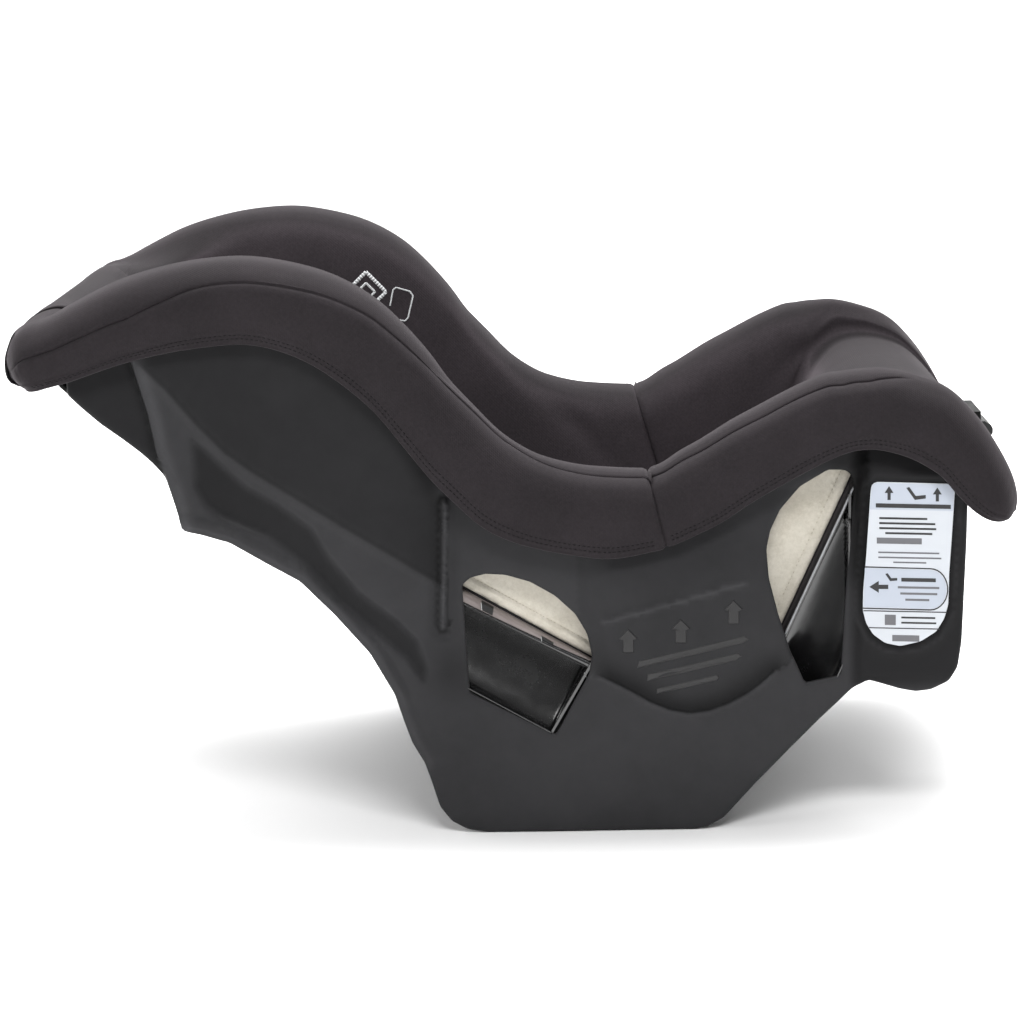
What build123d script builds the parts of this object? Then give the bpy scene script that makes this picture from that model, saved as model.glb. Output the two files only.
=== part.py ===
from build123d import *
import os
import math

# Convertible infant car seat, standing on the flat base of its one-piece
# moulded shell.  Millimetres.  +X runs from the head end to the foot end,
# +Y is the child's left, +Z is up.  All profiles are drawn in "design" X and
# moved by -CENTRE_X at export, so the box of the whole seat is centred.

# ---------------------------------------------------------------- dimensions
CENTRE_X = 8.0            # design X of the middle of the overall length
HALF_W = 219.0            # half of the overall width
PLATE_IN, PLATE_OUT = 192.0, 195.2      # side wall of the shell
FLANGE_OUT = 207.0        # outer reach of the rim flange
SHELL_T = 3.2             # wall of the moulded shell
PAD_IN = 164.0            # inner face of the side padding
PAD_OUT = 177.5           # outer face of the side padding
FELT_T = 2.0              # felt lining
PAD_T = 13.2              # floor padding
COVER_T = 11.5            # skirt of the cover outside the shell
RIM_DROP = 14.0           # padding over the rim
BX, BZ = 162.1, 54.4      # bight, where back panel and seat panel meet
UX, UZ = -0.865, 0.502    # direction up the back panel
NX, NZ = 0.502, 0.865     # normal of the back panel, towards the child
SX, SZ = 0.401, 0.916     # direction up the seat panel
MX, MZ = -0.916, 0.401    # normal of the seat panel, towards the child
WEB_W, WEB_T = 38.0, 1.6  # harness webbing
STRAP_Y = 42.0            # half spacing of the shoulder straps
SLOT_U = (255.0, 295.0, 335.0, 375.0, 415.0)   # harness slot rows
USED_U = 415.0
CROTCH_S = (60.0, 95.0, 130.0)                 # crotch strap slots
HIP_U, HIP_Y = 26.0, 118.0
STRAP_N = 17.6            # height of the shoulder straps over the back panel
CLIP_U = 300.0            # middle of the chest clip
BUCKLE_U0, BUCKLE_U1 = 60.0, 122.0

# rim line of the padded sides, head end to crease, and crease to foot end
RIDGE_BACK = [(-372, 375), (-366.7, 389.1), (-358.1, 397.1), (-344.5, 401.3),
              (-322.4, 412.7), (-290.6, 427.6), (-256.2, 437.9), (-226.5, 443.2),
              (-194.1, 444.8), (-167.8, 441.3), (-138.7, 433.4), (-117.1, 423.4),
              (-98, 410.5), (-81.2, 394.6), (-59.8, 370.4), (-44.9, 350.7),
              (-27.6, 330.9), (-8.1, 309.5), (12.3, 294.8), (29.3, 287.7),
              (49.2, 282.8), (67, 280.9), (86.3, 279.8), (98.9, 279.6)]
RIDGE_SEAT = [(98.9, 279.6), (108.6, 283.2), (123.6, 292.7), (138.4, 300.7),
              (162.2, 315.3), (182.9, 326.2), (199.1, 334.8), (212.4, 341.3),
              (230, 348.4), (249.1, 351), (269.7, 352.1), (282.1, 350.4),
              (296.8, 346.4), (313.1, 340.1), (326, 331.5), (341.3, 314.9),
              (351.8, 300.5), (363.1, 281.4), (369.3, 267.7), (372.5, 254.8)]
# bottom edge of the cover, head end to foot end
HEM_BACK = [(-340.7, 353.4), (-325.1, 356.8), (-301.9, 365.2), (-267.8, 374.9),
            (-225.1, 381.4), (-191.4, 383), (-156.1, 372.7), (-121.9, 350.7),
            (-91.4, 320.5), (-71, 292.5), (-46.8, 265.9), (-18.7, 240.5),
            (18.6, 226.2), (65.7, 218.5), (110.5, 225.3)]
HEM_SEAT = [(111, 225.3), (150.6, 242.7), (166.8, 253.7), (197.6, 271.8),
            (227.6, 287.7), (248.7, 295.5), (265.4, 296.7), (288.1, 291),
            (310.8, 278.7), (331.5, 255.1), (348.5, 242.8), (359.5, 239.6),
            (366.7, 244)]
# outline of the side wall of the shell below the rim, head end to foot end
WALL = [(-329, 357), (-328, 344), (-315, 332), (-294, 317), (-274, 299),
        (-262, 283), (-254, 262), (-247, 243), (-242, 236),
        (-235, 231.5), (-226, 233), (-214, 228), (-191, 213), (-168, 195),
        (-144.5, 174.6), (-121, 150), (-110, 136), (-98, 117), (-87, 87),
        (-81.6, 70), (-76, 59), (-68.5, 49), (-64.6, 26.6), (-53, 9),
        (-41, 2.3), (-26.5, 0), (131.8, 0), (141.7, 1.7), (154, 8.7),
        (166, 22), (178, 35.3), (202.5, 61), (226.6, 85.7), (238.6, 97.2),
        (250.5, 108.7), (262.5, 116.3), (274.5, 112.2), (286.5, 108),
        (298.5, 105.6), (310.4, 107), (322.3, 113.7), (329, 126),
        (331.7, 145.4), (334.4, 222), (334.8, 252.3)]
WINDOW_BACK = [(-40.4, 194.3), (-34.3, 199.6), (-23.1, 202.4), (-8.2, 201.4),
               (10.4, 195.7), (28.8, 184.6), (43.5, 170.5), (52.3, 154.9),
               (55.7, 138.5), (53.2, 123), (42.4, 103.7), (32.2, 84.3),
               (27.6, 76.5), (-36.6, 110.5), (-38.6, 151.8)]
WINDOW_SEAT = [(249.8, 272.7), (244.7, 276.6), (232.1, 276.8), (211.5, 264.4),
               (196.7, 247.2), (189.3, 232.2), (186.3, 218.5), (187.7, 197.9),
               (194.4, 170.9), (204.1, 139.8), (215.3, 114), (242.2, 119.8),
               (247.1, 208.3), (251.4, 261.4)]
LABEL = [(263.5, 262), (331.5, 259), (329, 176), (328, 157), (320, 146.5),
         (297.5, 136), (276, 144), (263.5, 162), (261, 177.5)]
# child side of the front waterfall of the shell, after the seat panel
FRONT = [(251.0, 257.5), (262, 280), (272, 296), (286, 308), (300, 311.5),
         (318, 305), (338, 286), (351, 264), (356, 249)]


# ------------------------------------------------------------------- helpers
def B(u, n):
    return (BX + UX * u + NX * n, BZ + UZ * u + NZ * n)


def S(s, m):
    return (BX + SX * s + MX * m, BZ + SZ * s + MZ * m)


def face(pts):
    return Face(Wire.make_polygon([Vector(*p) for p in pts], close=True))


def ext(pts, vec):
    return Part() + Solid.extrude(face(pts), Vector(*vec))


def prism(xz, y0, y1):
    lo, hi = min(y0, y1), max(y0, y1)
    return ext([(x, lo, z) for x, z in xz], (0, hi - lo, 0))


def both(xz, y0, y1):
    return prism(xz, y0, y1) + prism(xz, -y1, -y0)


def bbox(u0, u1, y0, y1, n0, n1):
    return prism([B(u0, n0), B(u1, n0), B(u1, n1), B(u0, n1)], y0, y1)


def sbox(s0, s1, y0, y1, m0, m1):
    return prism([S(s0, m0), S(s1, m0), S(s1, m1), S(s0, m1)], y0, y1)


def box(x0, x1, y0, y1, z0, z1):
    return prism([(x0, z0), (x1, z0), (x1, z1), (x0, z1)], y0, y1)


def bplate(uy, n0, n1):
    pts = []
    for u, y in uy:
        x, z = B(u, n0)
        pts.append((x, y, z))
    return ext(pts, (NX * (n1 - n0), 0, NZ * (n1 - n0)))


def unit(a, b):
    d = math.hypot(b[0] - a[0], b[1] - a[1])
    return ((b[0] - a[0]) / d, (b[1] - a[1]) / d)


def offset_line(pts, d):
    # moves an open line to its left by d, mitring the corners
    out = []
    for i, p in enumerate(pts):
        a = unit(pts[i - 1], p) if i else unit(p, pts[1])
        b = unit(p, pts[i + 1]) if i < len(pts) - 1 else a
        nx, nz = -(a[1] + b[1]), a[0] + b[0]
        L = math.hypot(nx, nz)
        nx, nz = nx / L, nz / L
        c = max(0.35, nx * -a[1] + nz * a[0])
        out.append((p[0] + nx * d / c, p[1] + nz * d / c))
    return out


def ribbon(xz, t, y0, y1):
    # flat band of thickness t to the left of a line in XZ
    return prism(list(xz) + offset_line(xz, t)[::-1], y0, y1)


def at_x(pts, x):
    for a, b in zip(pts, pts[1:]):
        if min(a[0], b[0]) <= x <= max(a[0], b[0]) and a[0] != b[0]:
            return a[1] + (b[1] - a[1]) * (x - a[0]) / (b[0] - a[0])
    return pts[-1][1]


def cyl_y(x, z, r, y0, y1):
    return Pos(x, (y0 + y1) / 2, z) * Rot(90, 0, 0) * Cylinder(r, abs(y1 - y0))


parts = {}
RIDGE = RIDGE_BACK + RIDGE_SEAT[1:]
RIM = offset_line(RIDGE, -RIM_DROP)          # top edge of the shell
RIM = [p for p in RIM if p[0] > -361]
bight = (BX, BZ)

# --------------------------------------------------------------------- shell
rim_lo = offset_line(RIM, -SHELL_T)
wall_poly = WALL + [(341, 250), (352, 252)] + RIM[::-1] + [(-357, 372), (-345, 363)]
plate = prism(wall_poly, PLATE_IN, PLATE_OUT)
flange = prism(RIM + rim_lo[::-1], PLATE_OUT - 0.2, FLANGE_OUT)
side = plate + flange
side -= prism(WINDOW_BACK, PLATE_IN - 5, FLANGE_OUT + 5)
side -= prism(WINDOW_SEAT, PLATE_IN - 5, FLANGE_OUT + 5)
parts["shell_side_left"] = side
parts["shell_side_right"] = mirror(side, about=Plane.XZ)

# bent floor of the bucket: head lip, back panel, seat panel, front waterfall
head = B(592, 0)
floor_line = [(head[0] + 0.5, 380.5), head, bight] + FRONT
floor_line = [(p[0], p[1]) for p in floor_line]
bucket = ribbon(floor_line, -SHELL_T, -PLATE_IN, PLATE_IN)
for u in SLOT_U:
    bucket -= bbox(u - 6, u + 6, STRAP_Y - 23, STRAP_Y + 23, -9, 9)
    bucket -= bbox(u - 6, u + 6, -STRAP_Y - 23, -STRAP_Y + 23, -9, 9)
for s in CROTCH_S:
    bucket -= sbox(s - 5, s + 5, -23, 23, -9, 9)
for q in (1, -1):
    bucket -= bbox(HIP_U - 6, HIP_U + 6, q * HIP_Y - 22, q * HIP_Y + 22, -9, 9)
    for u in (165, 215):        # small slots beside the belt path
        bucket -= bbox(u - 8, u + 8, q * 172 - 3, q * 172 + 3, -9, 9)
bucket -= box(340, 362, -21, 21, 262, 272)      # adjuster strap slot
for q in (1, -1):           # rounded corners of the head end
    cut = bplate([(562, q * 193), (610, q * 193), (610, q * 140), (592, q * 158), (578, q * 178)], -12, 60)
    bucket -= cut
parts["shell_bucket"] = bucket

# longitudinal ribs under the bucket
rib_poly = [B(586, -3.4), (-350, 332), (-336, 317), (-314, 300), (-292, 281), (-276, 265),
            (-232, 229), (-120, 134), (-82, 92), (-58, 30), (-46, 6), (-20, 3.2), (128, 3.2),
            (150, 20), B(6, -3.4)]
rib = prism(rib_poly, 74, 77)
for xc, zc, r in ((-210, 228, 12), (-120, 165, 16), (-20, 70, 26), (66, 48, 20)):
    rib -= cyl_y(xc, zc, r, 70, 80)
parts["shell_rib_left"] = rib
parts["shell_rib_right"] = mirror(rib, about=Plane.XZ)


def cross(x0, x1, z0, ztop, gap, half):
    # wall across the shell between the ribs, with a gap for the strap
    out = None
    for y0, y1 in ((-PLATE_IN, -77), (-74, 74), (77, PLATE_IN)):
        w = box(x0, x1, y0, y1, z0, ztop)
        if y0 == -74:
            w -= box(x0 - 1, x1 + 1, -half, half, ztop - gap, ztop + 1)
        out = w if out is None else out + w
    return out


parts["cross_walls"] = cross(-103, -100, 126, 201, 46, 66) + cross(108, 111, 3.2, 79, 32, 26)

# ladder shaped foot that joins the lower edges
foot = box(-26, 130, -PLATE_IN, PLATE_IN, 0, 3.0)
for x0, x1 in ((-10, 42), (64, 114)):
    foot -= box(x0, x1, -176, -12, -1, 4)
    foot -= box(x0, x1, 12, 176, -1, 4)
parts["base_frame"] = foot


# curved belt guides inside the windows, one pair for each belt path
def guide_back(q):
    R = 42.0
    pts = []
    ang = [math.radians(a) for a in range(180, 271, 10)]
    for a in ang:
        pts.append((PLATE_IN - 0.5 + R * math.cos(a), -4.0 + 44.5 * math.sin(a)))
    for a in ang[::-1]:
        pts.append((PLATE_IN - 0.5 + (R + 2.4) * math.cos(a), -4.0 + (44.5 + 2.4) * math.sin(a)))
    u0, u1 = 140.0, 236.0
    face_pts = []
    for y, n in pts:
        x, z = B(u0, n)
        face_pts.append((x, q * y, z))
    return ext(face_pts, (UX * (u1 - u0), 0, UZ * (u1 - u0)))


def guide_seat(q):
    R = 40.0
    pts = []
    ang = [math.radians(a) for a in range(180, 271, 15)]
    for a in ang:
        pts.append((PLATE_IN - 0.5 + R * math.cos(a), -4.0 + 43.0 * math.sin(a)))
    for a in ang[::-1]:
        pts.append((PLATE_IN - 0.5 + (R + 2.4) * math.cos(a), -4.0 + 45.4 * math.sin(a)))
    s0, s1 = 78.0, 222.0
    face_pts = []
    for y, m in pts:
        x, z = S(s0, m)
        face_pts.append((x, q * y, z))
    g = ext(face_pts, (SX * (s1 - s0), 0, SZ * (s1 - s0)))
    g = g - box(249.6, 330, -220, 220, 60, 300)
    back = [(249.2, 112), (251.4, 112), (251.4, 236), (249.2, 236)]
    return g + prism(back, q * 151, q * (PLATE_IN - 0.2))


parts["belt_guide_back_left"] = guide_back(1)
parts["belt_guide_back_right"] = guide_back(-1)
parts["belt_guide_seat_left"] = guide_seat(1)
parts["belt_guide_seat_right"] = guide_seat(-1)

# storage pods for the lower anchor connectors, open at the top
pod_out = [(254, 252), (252, 122), (263, 118.5), (275, 115), (298.5, 108.8), (320, 116),
           (326.5, 128), (329, 146), (331.5, 222), (331.8, 252)]
pod_in = [(256.6, 253), (254.6, 123.9), (264, 121), (275.5, 117.5), (298.5, 111.4), (318.2, 117.9),
          (324, 128.8), (326.4, 146.3), (328.9, 222), (329.2, 253)]
pod = prism(pod_out, 158.0, PLATE_IN) - prism(pod_in, 160.6, PLATE_IN + 1)
pod -= box(262, 302, 150, 162, 196, 204)         # slot for the anchor strap
parts["anchor_pod_left"] = pod
parts["anchor_pod_right"] = mirror(pod, about=Plane.XZ)
label = prism(LABEL, PLATE_OUT, PLATE_OUT + 0.4)
parts["label_left"] = label
parts["label_right"] = mirror(label, about=Plane.XZ)

# ---------------------------------------------------------------- soft goods
# felt lining on the child side of the bucket and up the side padding
ridge_lo = offset_line(RIDGE, -RIM_DROP - 6)
back_top = [p for p in ridge_lo if -338 < p[0] < 95]
seat_top = [p for p in ridge_lo if 104 < p[0] < 318]
felt_side_back = [B(575, 17), B(40, 17), (99, 262)] + back_top[::-1]
lining_back = bbox(19, 575, -150, 150, 0.0, FELT_T)
for q in (1, -1):
    lining_back += prism(felt_side_back, q * PAD_OUT, q * (PAD_OUT + FELT_T))
    c = []
    for y, n in ((149.5, 0.0), (149.5, FELT_T), (PAD_OUT, 19.6), (PAD_OUT + FELT_T, 19.6), (PAD_OUT + FELT_T, 17)):
        x, z = B(60, n)
        c.append((x, q * y, z))
    lining_back += ext(c, (UX * 515, 0, UZ * 515))
felt_side_seat = [S(34, 17), S(214, 17)] + offset_line(FRONT, 1.0)[3:6] + seat_top[::-1] + [(106, 262)]
lining_seat = sbox(24, 222, -150, 150, 0.0, FELT_T)
for q in (1, -1):
    lining_seat += prism(felt_side_seat, q * PAD_OUT, q * (PAD_OUT + FELT_T))
    c = []
    for y, m in ((149.5, 0.0), (149.5, FELT_T), (PAD_OUT, 19.6), (PAD_OUT + FELT_T, 19.6), (PAD_OUT + FELT_T, 17)):
        x, z = S(44, m)
        c.append((x, q * y, z))
    lining_seat += ext(c, (SX * 170, 0, SZ * 170))

# foam in the head wings, between lining and side wall
wing = [(-318, 356), (-300, 398), (-262, 414), (-226, 422), (-194, 424), (-160, 417),
        (-128, 402), (-108, 386), (-92, 366), (-104, 320), (-128, 296)]
foam = prism(wing, PAD_OUT + FELT_T + 0.4, PLATE_IN - 0.4)
parts["wing_foam_left"] = foam
parts["wing_foam_right"] = mirror(foam, about=Plane.XZ)

# padded cover, back section
rb_lo = offset_line(RIDGE_BACK, -RIM_DROP)


def floor_corner(P, lo, hi, y0):
    out = None
    for q in (1, -1):
        c = []
        for y, n in ((y0 - 0.5, FELT_T), (y0 - 0.5, FELT_T + PAD_T), (PAD_IN, 30), (PAD_OUT, 30), (PAD_OUT, 19.6)):
            x, z = P(lo, n)
            c.append((x, q * y, z))
        x1, z1 = P(hi, 0)
        x0, z0 = P(lo, 0)
        e = ext(c, (x1 - x0, 0, z1 - z0))
        out = e if out is None else out + e
    return out


skirt_back = RIDGE_BACK + HEM_BACK[::-1] + [(-356, 350), (-368, 352), (-374, 362)]
cover_back = both(skirt_back, FLANGE_OUT + 0.5, HALF_W)
cap = [p for p in RIDGE_BACK] + [p for p in rb_lo[::-1] if p[0] > -358] + [(-359, 362), (-374, 362)]
cover_back += both(cap, PAD_IN, HALF_W)
side_back = [B(588, 19.6), B(12, 19.6), (98.4, 230), (98.9, 279.6)] + [p for p in RIDGE_BACK[::-1] if p[0] > -345]
cover_back += both(side_back, PAD_IN, PAD_OUT)
cover_back += bbox(17, 588, -150, 150, FELT_T, FELT_T + PAD_T)
cover_back += floor_corner(B, 50, 588, 150)
head_roll = [(-356, 350), (-368, 352), (-374, 362), (-373, 375), (-366.7, 389.1), (-358.1, 397.1),
             (-344.5, 401.3), (-332, 399), (-323, 390), (-319, 376), B(560, 15), B(592, 2), (-349.4, 381), (-353.8, 381),
             (-354.5, 352)]
cover_back += prism(head_roll, -HALF_W + 1, HALF_W - 1)

# padded cover, seat section with the front waterfall
rs_lo = offset_line(RIDGE_SEAT, -RIM_DROP)
skirt_seat = RIDGE_SEAT + HEM_SEAT[::-1]
cover_seat = both(skirt_seat, FLANGE_OUT + 0.5, HALF_W)
cap_s = RIDGE_SEAT + [(366, 246)] + [p for p in rs_lo[::-1] if p[1] > 262]
cover_seat += both(cap_s, PAD_IN, HALF_W)
front_in = offset_line(FRONT, 0.4)
seat_pad = [S(24, FELT_T), S(24, FELT_T + PAD_T), S(222, FELT_T + PAD_T)] + \
    [(270, 319), (286, 326), (300, 327), (325, 317), (349, 297), (366, 270), (374, 250), (372, 241),
     (360, 238), (350, 240), (345, 246)] + [(353.5, 247.8), (357.4, 249)] + front_in[::-1][1:-1] + [S(222, FELT_T)]
cover_seat += prism(seat_pad, -150, 150)
front_only = [S(216, FELT_T), S(214, FELT_T + PAD_T)] + seat_pad[3:]
cover_seat += prism(front_only, -HALF_W + 1, HALF_W - 1)
side_seat = [S(30, 19.6), (112.5, 228), (100.6, 262), (99.9, 279.9)] + [p for p in RIDGE_SEAT[1:] if p[0] < 340] + \
    [(336, 296), (300, 318), (276, 312), S(222, 19.6)]
cover_seat += both(side_seat, PAD_IN, PAD_OUT)
cover_seat += floor_corner(S, 40, 222, 150)

shell_all = [parts["shell_side_left"], parts["shell_side_right"], parts["shell_bucket"]]
gap = box(98.9, 99.9, -230, 230, 262, 300)
shell_all += [parts["wing_foam_left"], parts["wing_foam_right"]]
seam = prism([(98.9, 262), (99.9, 262), (112.2, 222), (110.9, 222)], -230, 230)
cover_back = cover_back - gap - seam
cover_seat = cover_seat - gap - seam
# keep each section on its own side of the crease
side_of_back = prism([(-400, 0), (BX - 2, BZ - 4), (110.9, 224), (98.9, 262), (98.9, 500), (-400, 500)], -230, 230)
cover_back = cover_back & side_of_back
side_of_seat = prism([(400, 0), (BX, BZ - 4), (112.2, 224), (99.9, 262), (99.9, 500), (400, 500)], -230, 230)
cover_seat = cover_seat & side_of_seat
lining_back = lining_back & prism([(-400, 0), (BX - 3, BZ - 4), (110.4, 224), (98.4, 262), (98.4, 500), (-400, 500)], -230, 230)
lining_seat = lining_seat & prism([(400, 0), (BX + 1, BZ - 4), (112.7, 224), (100.4, 262), (100.4, 500), (400, 500)], -230, 230)

# openings for the straps in cover and lining
cuts = []
for u in SLOT_U:
    for q in (1, -1):
        cuts.append(bbox(u - 5, u + 5, q * STRAP_Y - 22, q * STRAP_Y + 22, -1, 16))
for s in CROTCH_S:
    cuts.append(sbox(s - 4.5, s + 4.5, -22, 22, -1, 16))
for q in (1, -1):
    cuts.append(bbox(HIP_U - 5, HIP_U + 5, q * HIP_Y - 21.5, q * HIP_Y + 21.5, -1, 16))
front_cut = box(340, 400, -29, 29, 246, 291) + box(340, 400, -36, 36, 256, 273)
for c in cuts:
    cover_back -= c
    cover_seat -= c
    lining_back -= c
    lining_seat -= c
cover_seat -= front_cut
for s in shell_all:
    cover_back -= s
    cover_seat -= s
    lining_back -= s
    lining_seat -= s
cover_back -= lining_back
cover_seat -= lining_seat
parts["cover_back"] = cover_back
parts["cover_seat"] = cover_seat
parts["lining_back"] = lining_back
parts["lining_seat"] = lining_seat

# ------------------------------------------------------------------- harness
TU0, TU1 = 100.0, 152.0        # buckle tongues
n0 = STRAP_N
LAP_UP = 11.8                  # lap strap runs over the tongues
tn = 27.1                      # mid plane of the tongues


def webbing(q):
    # shoulder strap over the pad, round the tongue and back to the hip slot
    h = WEB_W / 2
    sh = bplate([(USED_U, q * (STRAP_Y - h)), (USED_U, q * (STRAP_Y + h)), (222, q * (STRAP_Y + h)),
                 (TU1 - 4, q * 43), (TU1 - 4, q * 5.5), (222, q * (STRAP_Y - h))], n0, n0 + WEB_T)
    turn = bplate([(TU1 - 4, q * 5.5), (TU1 - 4, q * 43), (TU1 - 5.6, q * 43), (TU1 - 5.6, q * 5.5)],
                  n0, n0 + LAP_UP + WEB_T)
    lap = bplate([(TU1 - 4, q * 5.5), (TU1 - 4, q * 43), (HIP_U + 1.2, q * (HIP_Y + h)), (HIP_U - 0.8, q * (HIP_Y - h))],
                 n0 + LAP_UP, n0 + LAP_UP + WEB_T)
    # down through the hip slot
    down = bbox(HIP_U - 0.8, HIP_U + 0.8, q * HIP_Y - h, q * HIP_Y + h, -12, n0 + LAP_UP + WEB_T)
    # through the shoulder slot and down the outside of the back
    thru = bbox(USED_U - 0.8, USED_U + 0.8, q * STRAP_Y - h, q * STRAP_Y + h, -9.6, n0 + WEB_T)
    rear = bplate([(USED_U + 0.8, q * (STRAP_Y - h)), (USED_U + 0.8, q * (STRAP_Y + h)), (258, q * 40), (258, q * 3)],
                  -9.6, -8.0)
    return sh + turn + lap + down + thru + rear


parts["harness_webbing_left"] = webbing(1)
parts["harness_webbing_right"] = webbing(-1)


def tongue(q):
    t = bplate([(TU0, q * 4), (TU0, q * 15.6), (TU0 + 24, q * 17.6), (134, q * 46.5), (158, q * 46.5), (158, q * 2.2), (TU0 + 24, q * 2.2)],
               tn - 1.1, tn + 1.1)
    t -= bplate([(144, q * 4.8), (144, q * 44), (150.2, q * 44), (150.2, q * 4.8)], tn - 3, tn + 3)
    t -= bplate([(TU0 + 6, q * 6.5), (TU0 + 6, q * 13), (TU0 + 13, q * 13), (TU0 + 13, q * 6.5)], tn - 3, tn + 3)
    return t


parts["tongue_left"] = tongue(1)
parts["tongue_right"] = tongue(-1)

# buckle: two half casings, red button that presses towards the pad, latch, spring
bn0, bn1 = 16.0, 44.0
split_n = tn - 1.7
rear_half = bbox(BUCKLE_U0, BUCKLE_U1, -25, 25, bn0, split_n)
rear_half -= bbox(BUCKLE_U0 + 16, BUCKLE_U1 - 3, -21, 21, bn0 + 1.8, split_n + 1)
front_half = bbox(BUCKLE_U0, BUCKLE_U1, -25, 25, split_n, bn1)
front_half -= bbox(TU0 - 4, BUCKLE_U1 + 1, -21.5, 21.5, split_n - 1, tn + 2.0)
front_half -= bbox(BUCKLE_U0 + 16, TU0 + 13, -21.5, 21.5, split_n - 1, bn1 - 2.4)
front_half -= bbox(82.0, 106.0, -12.0, 12.0, bn1 - 5, bn1 + 1)


def top_edges(sh, n):
    return [e for e in sh.edges() if e.length > 40 and
            abs((e.center().X - BX) * NX + (e.center().Z - BZ) * NZ - n) < 0.2]


front_half = fillet(top_edges(front_half, bn1), 3.0)
btn = bbox(82.4, 105.6, -11.6, 11.6, bn1 - 5.5, bn1 + 0.8) + bbox(80.6, 111.6, -20.4, 20.4, bn1 - 5.5, bn1 - 2.7)
parts["buckle_button"] = btn
latch = bbox(104, 111, -20, 20, 21.4, 23.4)
for q in (1, -1):
    latch += bbox(106.8, 111, min(q * 7, q * 12.4), max(q * 7, q * 12.4), 23.4, 27.4)
    latch += bbox(104, 111, min(q * 18.4, q * 20), max(q * 18.4, q * 20), 23.4, bn1 - 5.5)
parts["buckle_latch"] = latch
p0 = B(88, bn0 + 1.8)
sl = bn1 - 5.5 - bn0 - 1.8
parts["buckle_spring"] = Plane(origin=(p0[0], 0, p0[1]), x_dir=(0, 1, 0), z_dir=(NX, 0, NZ)) * (
    Pos(0, 0, sl / 2) * (Cylinder(4.2, sl) - Cylinder(3.2, 60)))

# crotch strap from its plate under the seat panel to the buckle
c_line = [S(60, -12), S(60, 19.5), B(64, 31.0), B(69, 31.0)]
parts["crotch_strap"] = ribbon(c_line, WEB_T, -WEB_W / 2, WEB_W / 2)
front_half -= bbox(BUCKLE_U0 - 1, BUCKLE_U0 + 9.5, -20, 20, 28.4, 33.0)
parts["buckle_front_casing"] = front_half - parts["crotch_strap"]
parts["buckle_rear_casing"] = rear_half - parts["crotch_strap"]
plate3 = sbox(46, 74, -27, 27, -8.2, -5.7) - sbox(58.2, 61.8, -20, 20, -10, -4)
parts["crotch_retainer"] = plate3
for q, nm in ((1, "left"), (-1, "right")):
    hp = bbox(HIP_U - 13, HIP_U + 13, q * HIP_Y - 26, q * HIP_Y + 26, -8.2, -5.7)
    hp -= bbox(HIP_U - 1.4, HIP_U + 1.4, q * HIP_Y - 20, q * HIP_Y + 20, -10, -4)
    parts["hip_retainers"] = hp if q == 1 else parts["hip_retainers"] + hp

# chest clip: two halves joined in the middle, on the shoulder straps
cu0, cu1 = CLIP_U - 18, CLIP_U + 18
cn0, cn1 = 15.6, 28.5


def clip_half(q):
    b = bplate([(cu0, q * 0.3), (cu0, q * 56), (cu0 + 6, q * 66), (cu1 - 6, q * 66), (cu1, q * 56), (cu1, q * 0.3)], cn0, cn1)
    b -= bbox(cu0 - 1, cu1 + 1, min(q * 22.4, q * 61.6), max(q * 22.4, q * 61.6), STRAP_N - 0.4, STRAP_N + WEB_T + 0.4)
    b -= bbox(CLIP_U - 10.3, CLIP_U + 10.3, min(q * -1, q * 12.3), max(q * -1, q * 12.3), cn1 - 6.4, cn1 + 1)
    return b


parts["chest_clip_left"] = clip_half(1)
parts["chest_clip_right"] = clip_half(-1)
parts["chest_clip_button"] = bbox(CLIP_U - 10, CLIP_U + 10, -12, 12, cn1 - 2.6, cn1 + 0.7)

# splitter plate joining the shoulder straps to the adjuster strap
yoke = bplate([(226, -16), (226, 16), (242, 46), (272, 46), (272, -46), (242, -16 - 30)], -12.6, -10.0)
yoke -= bplate([(262, 3), (262, 41), (266, 41), (266, 3)], -14, -9)
yoke -= bplate([(262, -41), (262, -3), (266, -3), (266, -41)], -14, -9)
yoke -= bplate([(232, -20), (232, 20), (236, 20), (236, -20)], -14, -9)
parts["harness_yoke"] = yoke

# adjuster strap: from the splitter plate under the bucket to the front edge
a_line = [B(238, -8.2), B(30, -10.0), (BX + 4, BZ - 15), S(26, -16.0), S(190, -16.0), (270, 268),
          (300, 280), (326, 273), (344, 266.4), (358, 266.4), (370, 262.5), (376.2, 252), (377.4, 238), (377.6, 212)]
strap = ribbon(a_line, -WEB_T, -WEB_W / 2, WEB_W / 2)
parts["adjuster_strap"] = strap

# adjuster at the front edge: housing, toothed cam on its axle, spring, lever
ax, az = 362.0, 275.5
hous = box(351.8, 371.5, -27, 27, 258, 288.5) - box(350, 373, -22.2, 22.2, 260.6, 286)
hous = hous - box(370, 373, -28, 28, 250, 300)
parts["adjuster_housing"] = hous - cyl_y(ax, az, 2.55, -30, 30)
parts["adjuster_axle"] = cyl_y(ax, az, 2.5, -26.8, 26.8)
cam = cyl_y(ax, az, 6.0, -20, 20) + prism([(ax + 5.8, az), (ax - 1, az - 5.8), (ax + 3.2, az - 8.7)], -20, 20)
cam = cam - cyl_y(ax, az, 2.55, -30, 30)
parts["adjuster_cam"] = cam
lever = prism([(ax + 4.5, az + 3.4), (ax + 4.6, az - 2.5), (377, 267.5), (385.5, 266.2), (389.6, 269), (390, 273.5), (386.5, 276.8), (374, 279.6)],
              -21, 21)
lever = lever - cyl_y(ax, az, 6.15, -30, 30)
lever = fillet([e for e in lever.edges().filter_by(Axis.Y) if e.center().X > 381], 1.4)
parts["release_lever"] = lever
parts["adjuster_spring"] = cyl_y(ax, az, 4.4, 20.6, 22.0) - cyl_y(ax, az, 2.8, 20, 23)
sc = None
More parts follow.
